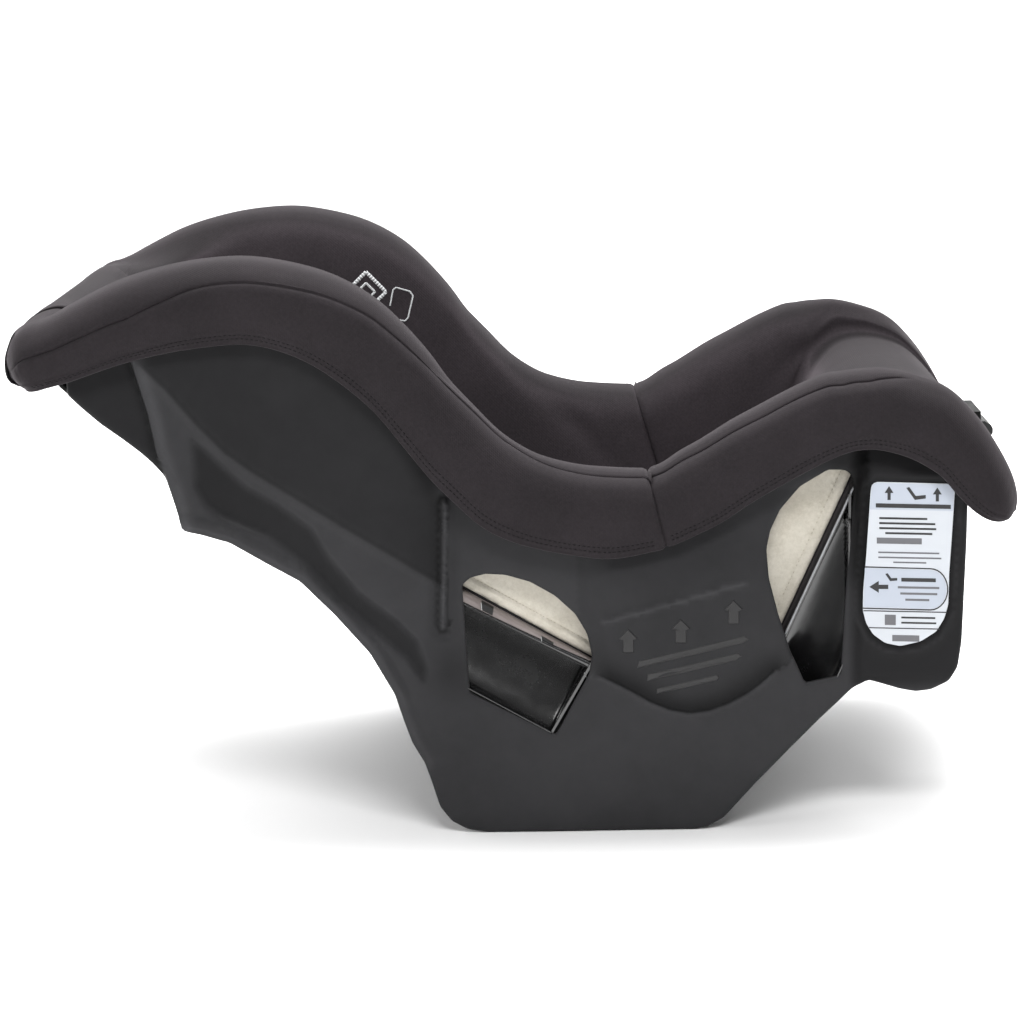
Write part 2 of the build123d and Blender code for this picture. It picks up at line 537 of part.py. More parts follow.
for q in (1, -1):
    head_s = Pos(360.5, q * 30.4, 264) * Rot(0, 90, 0) * Cylinder(3.4, 2.2)
    shank = Pos(356, q * 30.4, 264) * Rot(0, 90, 0) * Cylinder(1.9, 7.0)
    part_s = head_s + shank
    sc = part_s if sc is None else sc + part_s
ear = None
for q in (1, -1):
    e = box(357.4, 359.3, min(q * 27, q * 34.5), max(q * 27, q * 34.5), 259, 270)
    e -= Pos(358, q * 30.4, 264) * Rot(0, 90, 0) * Cylinder(2.05, 8)
    ear = e if ear is None else ear + e
parts["adjuster_housing"] = parts["adjuster_housing"] + ear - bucket - strap - box(340, 359, -20, 20, 262.6, 268.2)
parts["adjuster_screws"] = sc

# --------------------------------------------------------- lower anchor strap
AX0, AX1, AZS = 263.0, 301.0, 199.2
strap_la = box(AX0, AX1, -168, 168, AZS, AZS + WEB_T)
parts["lower_anchor_strap"] = strap_la
adj = box(258, 306, 66, 104, AZS - 5, AZS + 9) - box(262, 302, 60, 110, AZS - 0.4, AZS + WEB_T + 0.4)
adj -= box(264, 300, 72, 98, AZS + 3.4, AZS + 10)
parts["anchor_strap_adjuster"] = adj
parts["anchor_adjuster_button"] = box(264.4, 299.6, 72.4, 97.6, AZS + 6.6, AZS + 10.5)

HY0, HY1 = 170.0, 174.2          # plate of each lower hook
hook_out = [(262, 205), (302, 205), (305, 196), (300, 182), (303, 170), (305, 150), (300, 136), (289, 128), (277, 128),
            (267, 134), (263.5, 144), (263.5, 149), (270.5, 149), (272.5, 141), (279, 136.5), (287, 137), (293, 143),
            (294.5, 152), (293, 164), (288, 172), (276, 176), (266, 180), (260, 192)]


def hook(q):
    h = prism(hook_out, q * HY0, q * HY1)
    h -= box(266, 298, min(q * 160, q * 180), max(q * 160, q * 180), 197.2, 202.4)
    return h


GX, GZ = 270.6, 178.8
for q, nm in ((1, "left"), (-1, "right")):
    parts["anchor_hook_" + nm] = hook(q)
    ga = prism([(GX - 3.6, GZ - 1.0), (GX - 2.2, GZ + 3.4), (GX + 2.6, GZ + 3.4), (GX + 3.4, GZ - 1.0), (269.6, 152.0), (269.4, 150.0),
                (265.0, 150.0), (264.6, 152.4)], q * (HY1 + 0.4), q * (HY1 + 2.4))
    ga -= cyl_y(GX, GZ, 1.55, min(q * 160, q * 190), max(q * 160, q * 190))
    parts["anchor_gate_" + nm] = ga
    pin = cyl_y(GX, GZ, 1.5, q * (HY1), q * (HY1 + 3.6)) + cyl_y(GX, GZ, 2.6, q * (HY1 + 2.8), q * (HY1 + 3.8))
    parts["anchor_gate_pins"] = pin if q == 1 else parts["anchor_gate_pins"] + pin

# --------------------------------------------------------------------- tether
parts["tether_anchor_plate"] = bbox(534, 570, -24, 24, -23.8, -21.4)
post = Plane(origin=(B(562, -3.3)[0], 0, B(562, -3.3)[1]), x_dir=(0, 1, 0), z_dir=(-NX, 0, -NZ)) * (
    Pos(0, 0, 9.05) * Cylinder(7.0, 18.1))
parts["tether_boss"] = post
bolt = Plane(origin=(B(562, -23.8)[0], 0, B(562, -23.8)[1]), x_dir=(0, 1, 0), z_dir=(-NX, 0, -NZ)) * (
    extrude(RegularPolygon(6.5, 6), 4.0))
parts["tether_bolt"] = bolt
parts["tether_strap"] = bbox(330, 549, -19, 19, -25.6, -24.0)
ta = bbox(420, 458, -24, 24, -31, -20.5) - bbox(418, 460, -19.6, 19.6, -26.2, -23.4)
parts["tether_adjuster"] = ta
# tether hook, clipped over a storage bar moulded under the back
parts["tether_hook"] = bplate([(348, -22), (348, 22), (330, 22), (320, 12), (302, 14), (284, 14), (273, 9), (268, 0), (272, -10), (280, -15), (288, -15),
                               (288, -8), (281, -5), (277.5, 0), (281, 5), (288, 7), (302, 6), (310, 0), (318, -10), (330, -22)], -29.6, -26.0) \
    - bplate([(336, -19.6), (336, 19.6), (341, 19.6), (341, -19.6)], -32, -20)
TGU, TGY = 314.0, -2.0
tg = bplate([(TGU + 4, TGY - 3), (TGU + 4, TGY + 3), (TGU - 3, TGY + 3), (290.5, -9.4), (288.6, -9.6), (288.4, -13.6), (290.6, -14), (TGU - 2, TGY - 4)], -31.8, -30.0)
gx, gz = B(TGU, -31)
tg -= Plane(origin=(gx, TGY, gz), x_dir=(0, 1, 0), z_dir=(NX, 0, NZ)) * Cylinder(1.55, 10)
parts["tether_gate"] = tg
gx, gz = B(TGU, -29.6)
parts["tether_gate_pin"] = Plane(origin=(gx, TGY, gz), x_dir=(0, 1, 0), z_dir=(-NX, 0, -NZ)) * (
    (Pos(0, 0, 1.5) * Cylinder(1.5, 3.0)) + (Pos(0, 0, 3.1) * Cylinder(2.6, 1.2)))
# -------------------------------------------------------------------- export
os.makedirs("parts", exist_ok=True)
for f in os.listdir("parts"):
    if f.endswith(".step"):
        os.remove(os.path.join("parts", f))
lo = [1e9] * 3
hi = [-1e9] * 3
for name, shape in parts.items():
    shape = Pos(-CENTRE_X, 0, 0) * shape
    bb = shape.bounding_box()
    for i, (a, b) in enumerate(((bb.min.X, bb.max.X), (bb.min.Y, bb.max.Y), (bb.min.Z, bb.max.Z))):
        lo[i] = min(lo[i], a)
        hi[i] = max(hi[i], b)
    export_step(shape, "parts/%s.step" % name)
print("nodes", len(parts))
print("box", [round(v, 2) for v in lo], [round(v, 2) for v in hi])
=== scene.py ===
import bpy
import bmesh
import math
import numpy as np
from mathutils import Vector, Matrix
from mathutils.geometry import delaunay_2d_cdt


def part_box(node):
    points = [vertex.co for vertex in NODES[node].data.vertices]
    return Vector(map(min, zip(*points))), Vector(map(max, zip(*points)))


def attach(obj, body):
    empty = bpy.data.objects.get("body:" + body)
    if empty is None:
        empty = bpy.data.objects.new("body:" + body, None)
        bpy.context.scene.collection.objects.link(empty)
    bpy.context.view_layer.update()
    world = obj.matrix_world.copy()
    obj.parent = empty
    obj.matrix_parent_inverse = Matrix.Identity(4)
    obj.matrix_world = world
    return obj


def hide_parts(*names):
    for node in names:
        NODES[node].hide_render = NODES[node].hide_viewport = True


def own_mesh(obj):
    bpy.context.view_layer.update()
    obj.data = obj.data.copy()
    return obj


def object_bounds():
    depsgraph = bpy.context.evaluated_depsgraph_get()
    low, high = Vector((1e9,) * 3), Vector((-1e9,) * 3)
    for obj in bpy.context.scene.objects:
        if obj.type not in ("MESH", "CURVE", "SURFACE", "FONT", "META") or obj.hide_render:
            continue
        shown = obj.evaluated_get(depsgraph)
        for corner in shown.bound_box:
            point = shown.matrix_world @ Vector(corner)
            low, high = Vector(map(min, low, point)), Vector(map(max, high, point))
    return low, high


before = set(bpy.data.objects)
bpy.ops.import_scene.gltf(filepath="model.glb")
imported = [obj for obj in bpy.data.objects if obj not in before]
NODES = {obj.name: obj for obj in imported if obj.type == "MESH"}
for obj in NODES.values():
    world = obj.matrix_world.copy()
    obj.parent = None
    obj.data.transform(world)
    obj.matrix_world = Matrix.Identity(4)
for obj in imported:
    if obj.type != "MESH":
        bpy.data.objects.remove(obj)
CAD_BOX = [list(map(float, v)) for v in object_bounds()]
rng = np.random.default_rng(7)

CX = 8.0
BX, BZ = 162.1, 54.4
UX, UZ, NX, NZ = -0.865, 0.502, 0.502, 0.865
SX, SZ, MX, MZ = 0.401, 0.916, -0.916, 0.401


def P(x, y, z):
    return Vector(((x - CX) / 1000.0, y / 1000.0, z / 1000.0))


def B(u, n):
    return (BX + UX * u + NX * n, BZ + UZ * u + NZ * n)


def S(s, m):
    return (BX + SX * s + MX * m, BZ + SZ * s + MZ * m)


# ------------------------------------------------------------------ materials
class Mat:
    def __init__(self, name):
        self.m = bpy.data.materials.new(name)
        self.m.use_nodes = True
        self.nt = self.m.node_tree
        self.b = self.nt.nodes["Principled BSDF"]

    def n(self, kind, **props):
        node = self.nt.nodes.new(kind)
        for k, v in props.items():
            setattr(node, k, v)
        return node

    def link(self, a, b):
        self.nt.links.new(a, b)

    def set(self, **kw):
        for k, v in kw.items():
            self.b.inputs[k.replace("_", " ")].default_value = v

    def coords(self):
        if not hasattr(self, "tc"):
            self.tc = self.n("ShaderNodeTexCoord").outputs["Object"]
        return self.tc

    def noise(self, scale, detail=3.0, rough=0.55, vec=None):
        t = self.n("ShaderNodeTexNoise")
        t.inputs["Scale"].default_value = scale
        t.inputs["Detail"].default_value = detail
        t.inputs["Roughness"].default_value = rough
        self.link(vec if vec is not None else self.coords(), t.inputs["Vector"])
        return t.outputs["Fac"]

    def ramp(self, fac, stops):
        r = self.n("ShaderNodeValToRGB")
        while len(r.color_ramp.elements) < len(stops):
            r.color_ramp.elements.new(0.5)
        for e, (p, c) in zip(r.color_ramp.elements, stops):
            e.position = p
            e.color = (c[0], c[1], c[2], 1.0)
        self.link(fac, r.inputs["Fac"])
        return r.outputs["Color"]

    def rmap(self, fac, lo, hi, f0=0.0, f1=1.0):
        r = self.n("ShaderNodeMapRange")
        r.inputs["From Min"].default_value = f0
        r.inputs["From Max"].default_value = f1
        r.inputs["To Min"].default_value = lo
        r.inputs["To Max"].default_value = hi
        self.link(fac, r.inputs["Value"])
        return r.outputs["Result"]

    def math(self, op, a, b):
        m = self.n("ShaderNodeMath", operation=op)
        for i, v in enumerate((a, b)):
            if isinstance(v, (int, float)):
                m.inputs[i].default_value = v
            else:
                self.link(v, m.inputs[i])
        return m.outputs[0]

    def bump(self, height, strength, dist, normal=None):
        b = self.n("ShaderNodeBump")
        b.inputs["Strength"].default_value = strength
        b.inputs["Distance"].default_value = dist
        self.link(height, b.inputs["Height"])
        if normal is not None:
            self.link(normal, b.inputs["Normal"])
        return b.outputs["Normal"]


def plastic(name, lo, hi, rough, bump=0.12, grain=900.0, streak=True, spec=0.5, coat=0.0):
    k = Mat(name)
    big = k.noise(9.0, 4.0, 0.6)
    k.link(k.ramp(big, [(0.32, lo), (0.68, hi)]), k.b.inputs["Base Color"])
    fine = k.noise(grain, 2.0, 0.5)
    smear = k.noise(38.0, 5.0, 0.7)
    r = k.rmap(smear, rough - 0.07, rough + 0.09, 0.3, 0.7)
    k.link(r, k.b.inputs["Roughness"])
    nb = k.bump(fine, bump, 0.0003)
    if streak:
        nb = k.bump(k.noise(22.0, 2.0, 0.5), 0.10, 0.004, nb)
    k.link(nb, k.b.inputs["Normal"])
    k.set(Specular_IOR_Level=spec)
    if coat:
        k.set(Coat_Weight=coat, Coat_Roughness=0.12)
    return k.m


def fabric_mat(name, lo, hi, knit=1500.0, sheen=0.35, tint=(0.55, 0.5, 0.53), with_painted_shading=False):
    k = Mat(name)
    c = k.coords()
    # fine knit: two crossed waves and a fibre noise
    w1 = k.n("ShaderNodeTexWave", wave_type="BANDS", bands_direction="DIAGONAL")
    w1.inputs["Scale"].default_value = knit / 6.3
    w1.inputs["Distortion"].default_value = 1.2
    w1.inputs["Detail"].default_value = 1.0
    w2 = k.n("ShaderNodeTexWave", wave_type="BANDS", bands_direction="X")
    w2.inputs["Scale"].default_value = knit / 7.1
    w2.inputs["Distortion"].default_value = 1.5
    k.link(c, w1.inputs["Vector"])
    k.link(c, w2.inputs["Vector"])
    knit_h = k.math("MULTIPLY", w1.outputs["Fac"], w2.outputs["Fac"])
    fibre = k.noise(2600.0, 3.0, 0.7)
    mel = k.noise(420.0, 4.0, 0.75)
    cloud = k.noise(14.0, 3.0, 0.6)
    mix = k.math("ADD", k.math("MULTIPLY", mel, 0.55), k.math("MULTIPLY", cloud, 0.45))
    col = k.ramp(mix, [(0.36, lo), (0.64, hi)])
    # painted light and shade: the knit's colour is scaled by a per-vertex attribute
    if with_painted_shading:
        att = k.n("ShaderNodeAttribute")
        att.attribute_name = "painted_shading"
        mul = k.n("ShaderNodeVectorMath", operation="SCALE")
        k.link(col, mul.inputs[0])
        k.link(att.outputs["Fac"], mul.inputs["Scale"])
        col = mul.outputs["Vector"]
    k.link(col, k.b.inputs["Base Color"])
    h = k.math("ADD", k.math("MULTIPLY", knit_h, 0.6), k.math("MULTIPLY", fibre, 0.4))
    nb = k.bump(h, 0.35, 0.0004)
    nb = k.bump(k.noise(60.0, 2.0, 0.5), 0.08, 0.0015, nb)
    k.link(nb, k.b.inputs["Normal"])
    k.set(Roughness=0.92, Specular_IOR_Level=0.18, Sheen_Roughness=0.45,
          Sheen_Tint=(tint[0], tint[1], tint[2], 1.0))
    k.set(Sheen_Weight=sheen)
    return k.m


def felt_mat(name, lo, hi):
    k = Mat(name)
    c = k.coords()
    fib = k.noise(300.0, 6.0, 0.8)
    spots = k.noise(35.0, 4.0, 0.7)
    mix = k.math("ADD", k.math("MULTIPLY", fib, 0.5), k.math("MULTIPLY", spots, 0.5))
    k.link(k.ramp(mix, [(0.35, lo), (0.6, hi)]), k.b.inputs["Base Color"])
    nb = k.bump(fib, 0.5, 0.0012)
    nb = k.bump(k.noise(1500.0, 2.0, 0.6), 0.3, 0.0004, nb)
    k.link(nb, k.b.inputs["Normal"])
    k.set(Roughness=0.95, Specular_IOR_Level=0.15, Sheen_Weight=0.25, Sheen_Roughness=0.5)
    return k.m


def webbing_mat(name, lo, hi):
    k = Mat(name)
    c = k.coords()
    w = k.n("ShaderNodeTexWave", wave_type="BANDS", bands_direction="X")
    w.inputs["Scale"].default_value = 190.0
    w.inputs["Distortion"].default_value = 0.6
    k.link(c, w.inputs["Vector"])
    w2 = k.n("ShaderNodeTexWave", wave_type="BANDS", bands_direction="Y")
    w2.inputs["Scale"].default_value = 260.0
    k.link(c, w2.inputs["Vector"])
    h = k.math("MAXIMUM", w.outputs["Fac"], w2.outputs["Fac"])
    k.link(k.ramp(h, [(0.1, lo), (0.9, hi)]), k.b.inputs["Base Color"])
    nb = k.bump(h, 0.6, 0.0004)
    k.link(nb, k.b.inputs["Normal"])
    k.set(Roughness=0.6, Specular_IOR_Level=0.4, Sheen_Weight=0.15)
    return k.m


def metal_mat(name, col, rough=0.28):
    k = Mat(name)
    n1 = k.noise(120.0, 5.0, 0.7)
    k.link(k.ramp(n1, [(0.35, tuple(v * 0.82 for v in col)), (0.65, col)]), k.b.inputs["Base Color"])
    k.link(k.rmap(n1, rough - 0.06, rough + 0.12, 0.3, 0.7), k.b.inputs["Roughness"])
    k.link(k.bump(k.noise(700.0, 3.0, 0.6), 0.15, 0.0002), k.b.inputs["Normal"])
    k.set(Metallic=1.0)
    return k.m


M_SHELL = plastic("shell_plastic", (0.0155, 0.0150, 0.0155), (0.0225, 0.0220, 0.0225), 0.44, bump=0.10, grain=1100.0, spec=0.34)
def wall_mat():
    k = Mat("shell_plastic_wall_painted_shading")
    # painted shade and highlight: the wall's colour is scaled by a per-vertex attribute
    att = k.n("ShaderNodeAttribute")
    att.attribute_name = "painted_shading"
    big = k.noise(9.0, 4.0, 0.6)
    blot = k.noise(30.0, 6.0, 0.75)
    col = k.ramp(k.math("ADD", k.math("MULTIPLY", big, 0.6), k.math("MULTIPLY", blot, 0.4)),
                 [(0.34, (0.0235, 0.0233, 0.0246)), (0.66, (0.0330, 0.0327, 0.0346))])
    mul = k.n("ShaderNodeVectorMath", operation="SCALE")
    k.link(col, mul.inputs[0])
    k.link(att.outputs["Fac"], mul.inputs["Scale"])
    k.link(mul.outputs["Vector"], k.b.inputs["Base Color"])
    k.set(Specular_IOR_Level=0.07)
    k.link(k.rmap(blot, 0.36, 0.52, 0.3, 0.7), k.b.inputs["Roughness"])
    nb = k.bump(k.noise(1100.0, 2.0, 0.5), 0.10, 0.0003)
    nb = k.bump(k.noise(22.0, 2.0, 0.5), 0.10, 0.004, nb)
    k.link(nb, k.b.inputs["Normal"])
    return k.m


M_WALL = wall_mat()
# darker copy of the shell plastic for the parts inside the shell: painted shade
M_SHELL_SHADED = plastic("shell_plastic_painted_shade", (0.012, 0.012, 0.012), (0.017, 0.0165, 0.017), 0.5, bump=0.08, spec=0.3)
M_GUIDE = plastic("guide_gloss", (0.0030, 0.0030, 0.0030), (0.005, 0.005, 0.0055), 0.22, bump=0.02, streak=False, spec=0.62, coat=0.7)
M_COVER = fabric_mat("cover_knit", (0.0145, 0.0120, 0.0135), (0.0235, 0.0195, 0.0220), sheen=0.16, tint=(0.50, 0.45, 0.48))
# cover knit whose colour carries painted light and shade from a per-vertex attribute
M_COVER_PAINTED = fabric_mat("cover_knit_painted_shading", (0.0125, 0.0104, 0.0117), (0.0203, 0.0168, 0.0190), sheen=0.14, tint=(0.50, 0.45, 0.48), with_painted_shading=True)
M_BIND = fabric_mat("cover_binding", (0.010, 0.009, 0.0095), (0.016, 0.0145, 0.0155), knit=2400.0, sheen=0.06)
M_THREAD = fabric_mat("stitch_thread", (0.006, 0.0055, 0.006), (0.010, 0.0095, 0.010), knit=4000.0, sheen=0.05)
M_FELT = felt_mat("cream_felt", (0.44, 0.405, 0.335), (0.60, 0.565, 0.49))
M_FELT_TH = felt_mat("felt_thread", (0.30, 0.26, 0.20), (0.38, 0.34, 0.27))
M_FOAM = plastic("bead_foam", (0.55, 0.55, 0.53), (0.68, 0.68, 0.66), 0.8, bump=0.5, grain=260.0)
M_WEB = webbing_mat("harness_webbing", (0.008, 0.008, 0.009), (0.030, 0.030, 0.033))
M_STEEL = metal_mat("plated_steel", (0.46, 0.46, 0.47))
M_DARKSTEEL = plastic("black_coated_steel", (0.0035, 0.0035, 0.0036), (0.006, 0.006, 0.0062), 0.5, bump=0.1, streak=False, spec=0.12)
M_SPRING = metal_mat("spring_steel", (0.36, 0.36, 0.38), 0.2)
M_TRIM = plastic("black_trim", (0.008, 0.008, 0.008), (0.013, 0.013, 0.0135), 0.4, bump=0.12, grain=1500.0, spec=0.35)
M_RED = plastic("red_button", (0.38, 0.010, 0.010), (0.48, 0.016, 0.015), 0.32, bump=0.06)
M_GREY = plastic("grey_button", (0.12, 0.12, 0.125), (0.16, 0.16, 0.165), 0.4, bump=0.08)
# pale pinkish grey for the ledge of the dark shell below the felt: painted light falling on it from above
M_STRIP_PAINTED_LIGHT = plastic("panel_strip_painted_light", (0.15, 0.122, 0.118), (0.27, 0.235, 0.225), 0.42, bump=0.2)
M_LABEL = plastic("label_film", (0.50, 0.525, 0.56), (0.53, 0.555, 0.59), 0.4, bump=0.02, streak=False, spec=0.3)
M_BAND = plastic("label_band", (0.40, 0.435, 0.50), (0.43, 0.465, 0.53), 0.4, bump=0.02, streak=False, spec=0.3)
M_INK = plastic("label_ink", (0.012, 0.012, 0.013), (0.018, 0.018, 0.019), 0.5, bump=0.02, streak=False)
M_INKG = plastic("label_ink_grey", (0.10, 0.10, 0.11), (0.13, 0.13, 0.14), 0.5, bump=0.02, streak=False)
M_PATCH = plastic("printed_patch", (0.52, 0.53, 0.54), (0.60, 0.61, 0.62), 0.6, bump=0.15, streak=False)
# black for the slot boxes: painted shade inside the openings
M_SLOT_SHADE = plastic("slot_painted_shade", (0.003, 0.003, 0.003), (0.005, 0.005, 0.005), 0.7, bump=0.02, streak=False)
M_LINE = plastic("light_edge", (0.22, 0.225, 0.24), (0.30, 0.305, 0.32), 0.25, bump=0.02, streak=False)


# --------------------------------------------------------------------- helpers
def new_obj(name, verts, faces, mat, smooth=True):
    me = bpy.data.meshes.new(name)
    me.from_pydata([tuple(v) for v in verts], [], faces)
    me.validate()
    me.update()
    me.materials.append(mat)
    if smooth:
        me.polygons.foreach_set("use_smooth", [True] * len(me.polygons))
    o = bpy.data.objects.new(name, me)
    bpy.context.scene.collection.objects.link(o)
    return o


def fix_normals(o):
    bm = bmesh.new()
    bm.from_mesh(o.data)
    bmesh.ops.recalc_face_normals(bm, faces=bm.faces)
    bm.to_mesh(o.data)
    bm.free()


def place(o, body, slot, *reps):
    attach(o, body)
    if reps:
        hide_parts(*reps)
    return o


def catmull(keys, n, closed=False):
    """Smooth line through keys (k x d), n samples evenly by chord length."""
    K = np.asarray(keys, float)
    seg = np.linalg.norm(np.diff(K, axis=0), axis=1) ** 0.5 + 1e-9
    t = np.concatenate([[0], np.cumsum(seg)])
    out = []
    ts = np.linspace(0, t[-1], n)
    Kp = np.vstack([2 * K[0] - K[1], K, 2 * K[-1] - K[-2]])
    tp = np.concatenate([[t[0] - seg[0]], t, [t[-1] + seg[-1]]])
    for v in ts:
        i = min(max(np.searchsorted(t, v, side="right") - 1, 0), len(K) - 2)
        p0, p1, p2, p3 = Kp[i], Kp[i + 1], Kp[i + 2], Kp[i + 3]
        t0, t1, t2, t3 = tp[i], tp[i + 1], tp[i + 2], tp[i + 3]
        a1 = (t1 - v) / (t1 - t0) * p0 + (v - t0) / (t1 - t0) * p1
        a2 = (t2 - v) / (t2 - t1) * p1 + (v - t1) / (t2 - t1) * p2
        a3 = (t3 - v) / (t3 - t2) * p2 + (v - t2) / (t3 - t2) * p3
        b1 = (t2 - v) / (t2 - t0) * a1 + (v - t0) / (t2 - t0) * a2
        b2 = (t3 - v) / (t3 - t1) * a2 + (v - t1) / (t3 - t1) * a3
        out.append((t2 - v) / (t2 - t1) * b1 + (v - t1) / (t2 - t1) * b2)
    return np.array(out)


def resample(line, n):
    L = np.asarray(line, float)
    d = np.concatenate([[0], np.cumsum(np.linalg.norm(np.diff(L, axis=0), axis=1))])
    s = np.linspace(0, d[-1], n)
    return np.column_stack([np.interp(s, d, L[:, k]) for k in range(L.shape[1])])


CAM_C = Vector((0.042606, -2.154651, 0.668153))
F_PX = 2700.0
Rr = Vector((0.99959283, 0.01794252, -0.02218661))
Ru = Vector((0.01794252, 0.20934306, 0.97767763))
Rf = Vector((-0.02218661, 0.97767763, -0.20893589))


def px_to_xz(px, py, y):
    d = Rf * F_PX + Rr * (px - 512.0) - Ru * (py - 512.0)
    t = (y / 1000.0 - CAM_C.y) / d.y
    p = CAM_C + d * t
    return p.x * 1000.0, p.z * 1000.0


def sm(x):
    x = np.clip(x, 0.0, 1.0)
    return x * x * (3 - 2 * x)


# --------------------------------------------------------------- rim and hem
RIDGE_BACK = [(98.9, 279.6), (86.3, 279.8), (67, 280.9), (49.2, 282.8), (29.3, 287.7), (12.3, 294.8), (-8.1, 309.5),
              (-27.6, 330.9), (-44.9, 350.7), (-59.8, 370.4), (-81.2, 394.6), (-98, 410.5), (-117.1, 423.4),
              (-138.7, 433.4), (-167.8, 441.3), (-194.1, 444.8), (-226.5, 443.2), (-256.2, 437.9), (-290.6, 427.6),
              (-322.4, 412.7), (-344.5, 401.3), (-358.1, 397.1), (-366.7, 389.1), (-372, 375)]
RIDGE_SEAT = [(98.9, 279.6), (108.6, 283.2), (123.6, 292.7), (138.4, 300.7), (162.2, 315.3), (182.9, 326.2),
              (199.1, 334.8), (212.4, 341.3), (230, 348.4), (249.1, 351), (269.7, 352.1), (282.1, 350.4),
              (296.8, 346.4), (313.1, 340.1), (326, 331.5), (341.3, 314.9), (351.8, 300.5), (363.1, 281.4),
              (369.3, 267.7), (372.5, 254.8)]
# stations: R ridge, H hem, F floor edge, d seam distance below the ridge, q head/foot end rounding 0..1
BACK_ST = [
    # R            H                 F                 d    q
    ((100.6, 279.8), (112.8, 225.2), B(17.0, 15.2), 5.0, 0),
    ((93, 279.6), (106.0, 223.9), B(26, 15.2), 5.0, 0),
    ((67, 280.9), (72, 218.6), B(60, 15.2), 5.0, 0),
    ((49.2, 282.8), (45, 221.2), B(85, 15.2), 4.5, 0),
    ((29.3, 287.7), (18.6, 226.2), B(112, 15.2), 4.0, 0),
    ((12.3, 294.8), (-2, 232.6), B(138, 15.2), 3.2, 0),
    ((-8.1, 309.5), (-24, 244.0), B(165, 15.2), 3.2, 0),
    ((-27.6, 330.9), (-46.8, 265.9), B(190, 15.2), 4.0, 0),
    ((-44.9, 350.7), (-62, 281.5), B(212, 15.2), 5.5, 0),
    ((-59.8, 370.4), (-77, 300.8), B(232, 15.2), 8.0, 0),
    ((-81.2, 394.6), (-99, 329.0), B(260, 15.2), 10.5, 0),
    ((-98, 410.5), (-114, 344.0), B(282, 15.2), 12.0, 0),
    ((-117.1, 423.4), (-132, 358.2), B(304, 15.2), 14.0, 0),
    ((-138.7, 433.4), (-150, 369.5), B(330, 15.2), 15.5, 0),
    ((-167.8, 441.3), (-172, 378.3), B(362, 15.2), 17.0, 0),
    ((-194.1, 444.8), (-194, 382.9), B(395, 15.2), 18.0, 0),
    ((-226.5, 443.2), (-222, 381.8), B(430, 15.2), 19.5, 0),
    ((-256.2, 437.9), (-248, 378.6), B(465, 15.2), 24.5, 0),
    ((-290.6, 427.6), (-282, 371.2), B(500, 15.2), 30.0, 0),
    ((-322.4, 412.7), (-308, 362.8), B(532, 15.2), 31.5, 0),
    ((-333, 407.0), (-322, 357.9), B(548, 16.0), 31.5, 0),
    ((-340, 403.6), (-333, 354.9), (-318.5, 372), 31.0, 0.0),
    ((-347, 400.8), (-341, 352.8), (-324, 387), 30.0, 0.04),
    ((-353, 399.3), (-347, 351.0), (-336, 398.0), 28.5, 0.12),
    ((-360, 395.8), (-351.5, 350.2), (-349, 400.3), 26.0, 0.25),
    ((-367, 388.9), (-355, 349.8), (-362, 394.2), 21.0, 0.45),
    ((-371.5, 379), (-357, 349.6), (-369, 385.5), 15.0, 0.62),
    ((-373.8, 368), (-359, 349.5), (-373, 372.0), 8.0, 0.78),
    ((-373.0, 357), (-360, 349.6), (-373.6, 360.0), 4.0, 0.90),
    ((-368.0, 351.2), (-359, 350.0), (-368.5, 352.0), 1.0, 0.97),
    ((-361.0, 350.0), (-358, 350.6), (-361.5, 350.2), 0.4, 1.0),
    ((-356.5, 352.0), (-356.5, 352.6), (-356.5, 352.2), 0.3, 1.0),
]
SEAT_ST = [
    ((97.2, 279.5), (109.8, 224.8), S(19.5, 15.2), 5.0, 0),
    ((108.6, 283.2), (119.5, 228.5), S(36, 15.2), 5.0, 0),
    ((123.6, 292.7), (134, 234.7), S(60, 15.2), 5.5, 0),
    ((138.4, 300.7), (150.6, 242.7), S(82, 15.2), 6.0, 0),
    ((162.2, 315.3), (173, 257.5), S(112, 15.2), 6.5, 0),
    ((182.9, 326.2), (194, 269.8), S(138, 15.2), 7.0, 0),
    ((199.1, 334.8), (210, 278.8), S(158, 15.2), 7.0, 0),
    ((212.4, 341.3), (222, 285.0), S(174, 15.2), 7.0, 0),
    ((230, 348.4), (236, 291.2), S(196, 15.2), 7.5, 0),
    ((240, 349.8), (246, 294.8), S(216, 15.2), 8.0, 0),
    ((250, 351.1), (255, 296.4), (252, 295), 7.5, 0),
    ((261, 351.8), (264, 296.7), (261.6, 307), 7.5, 0),
    ((269.7, 352.1), (272, 295.4), (272.6, 315.5), 6.5, 0),
    ((282.1, 350.4), (283, 292.5), (285.6, 319.5), 4.5, 0),
    ((296.8, 346.4), (294, 288.4), (299.8, 320.5), 2.5, 0),
    ((313.1, 340.1), (305, 282.3), (314, 318.6), 2.0, 0),
    ((326, 331.5), (315, 275.0), (327.5, 314.2), 2.0, 0),
    ((341.3, 314.9), (326, 262.0), (341, 304.5), 2.0, 0),
    ((351.8, 300.5), (337, 250.4), (352, 292.5), 2.0, 0.0),
    ((363.1, 281.4), (346, 243.8), (363.1, 275.5), 2.0, 0.10),
    ((369.3, 267.7), (353, 240.8), (369.0, 264.0), 2.0, 0.30),
    ((372.6, 255.5), (360, 239.2), (372.4, 254.0), 2.0, 0.52),
    ((373.0, 247.0), (364, 239.2), (373.0, 246.5), 1.5, 0.70),
    ((370.5, 241.5), (364.5, 239.4), (370.5, 241.2), 2.0, 0.82),
    ((365.0, 239.3), (362, 239.0), (365.0, 239.2), 0.8, 0.9),
    ((358.0, 239.4), (357, 239.6), (358.0, 239.4), 0.4, 0.95),
    ((352.5, 242.5), (352.5, 242.9), (352.5, 242.6), 0.3, 1.0),
]
HALF = 218.6


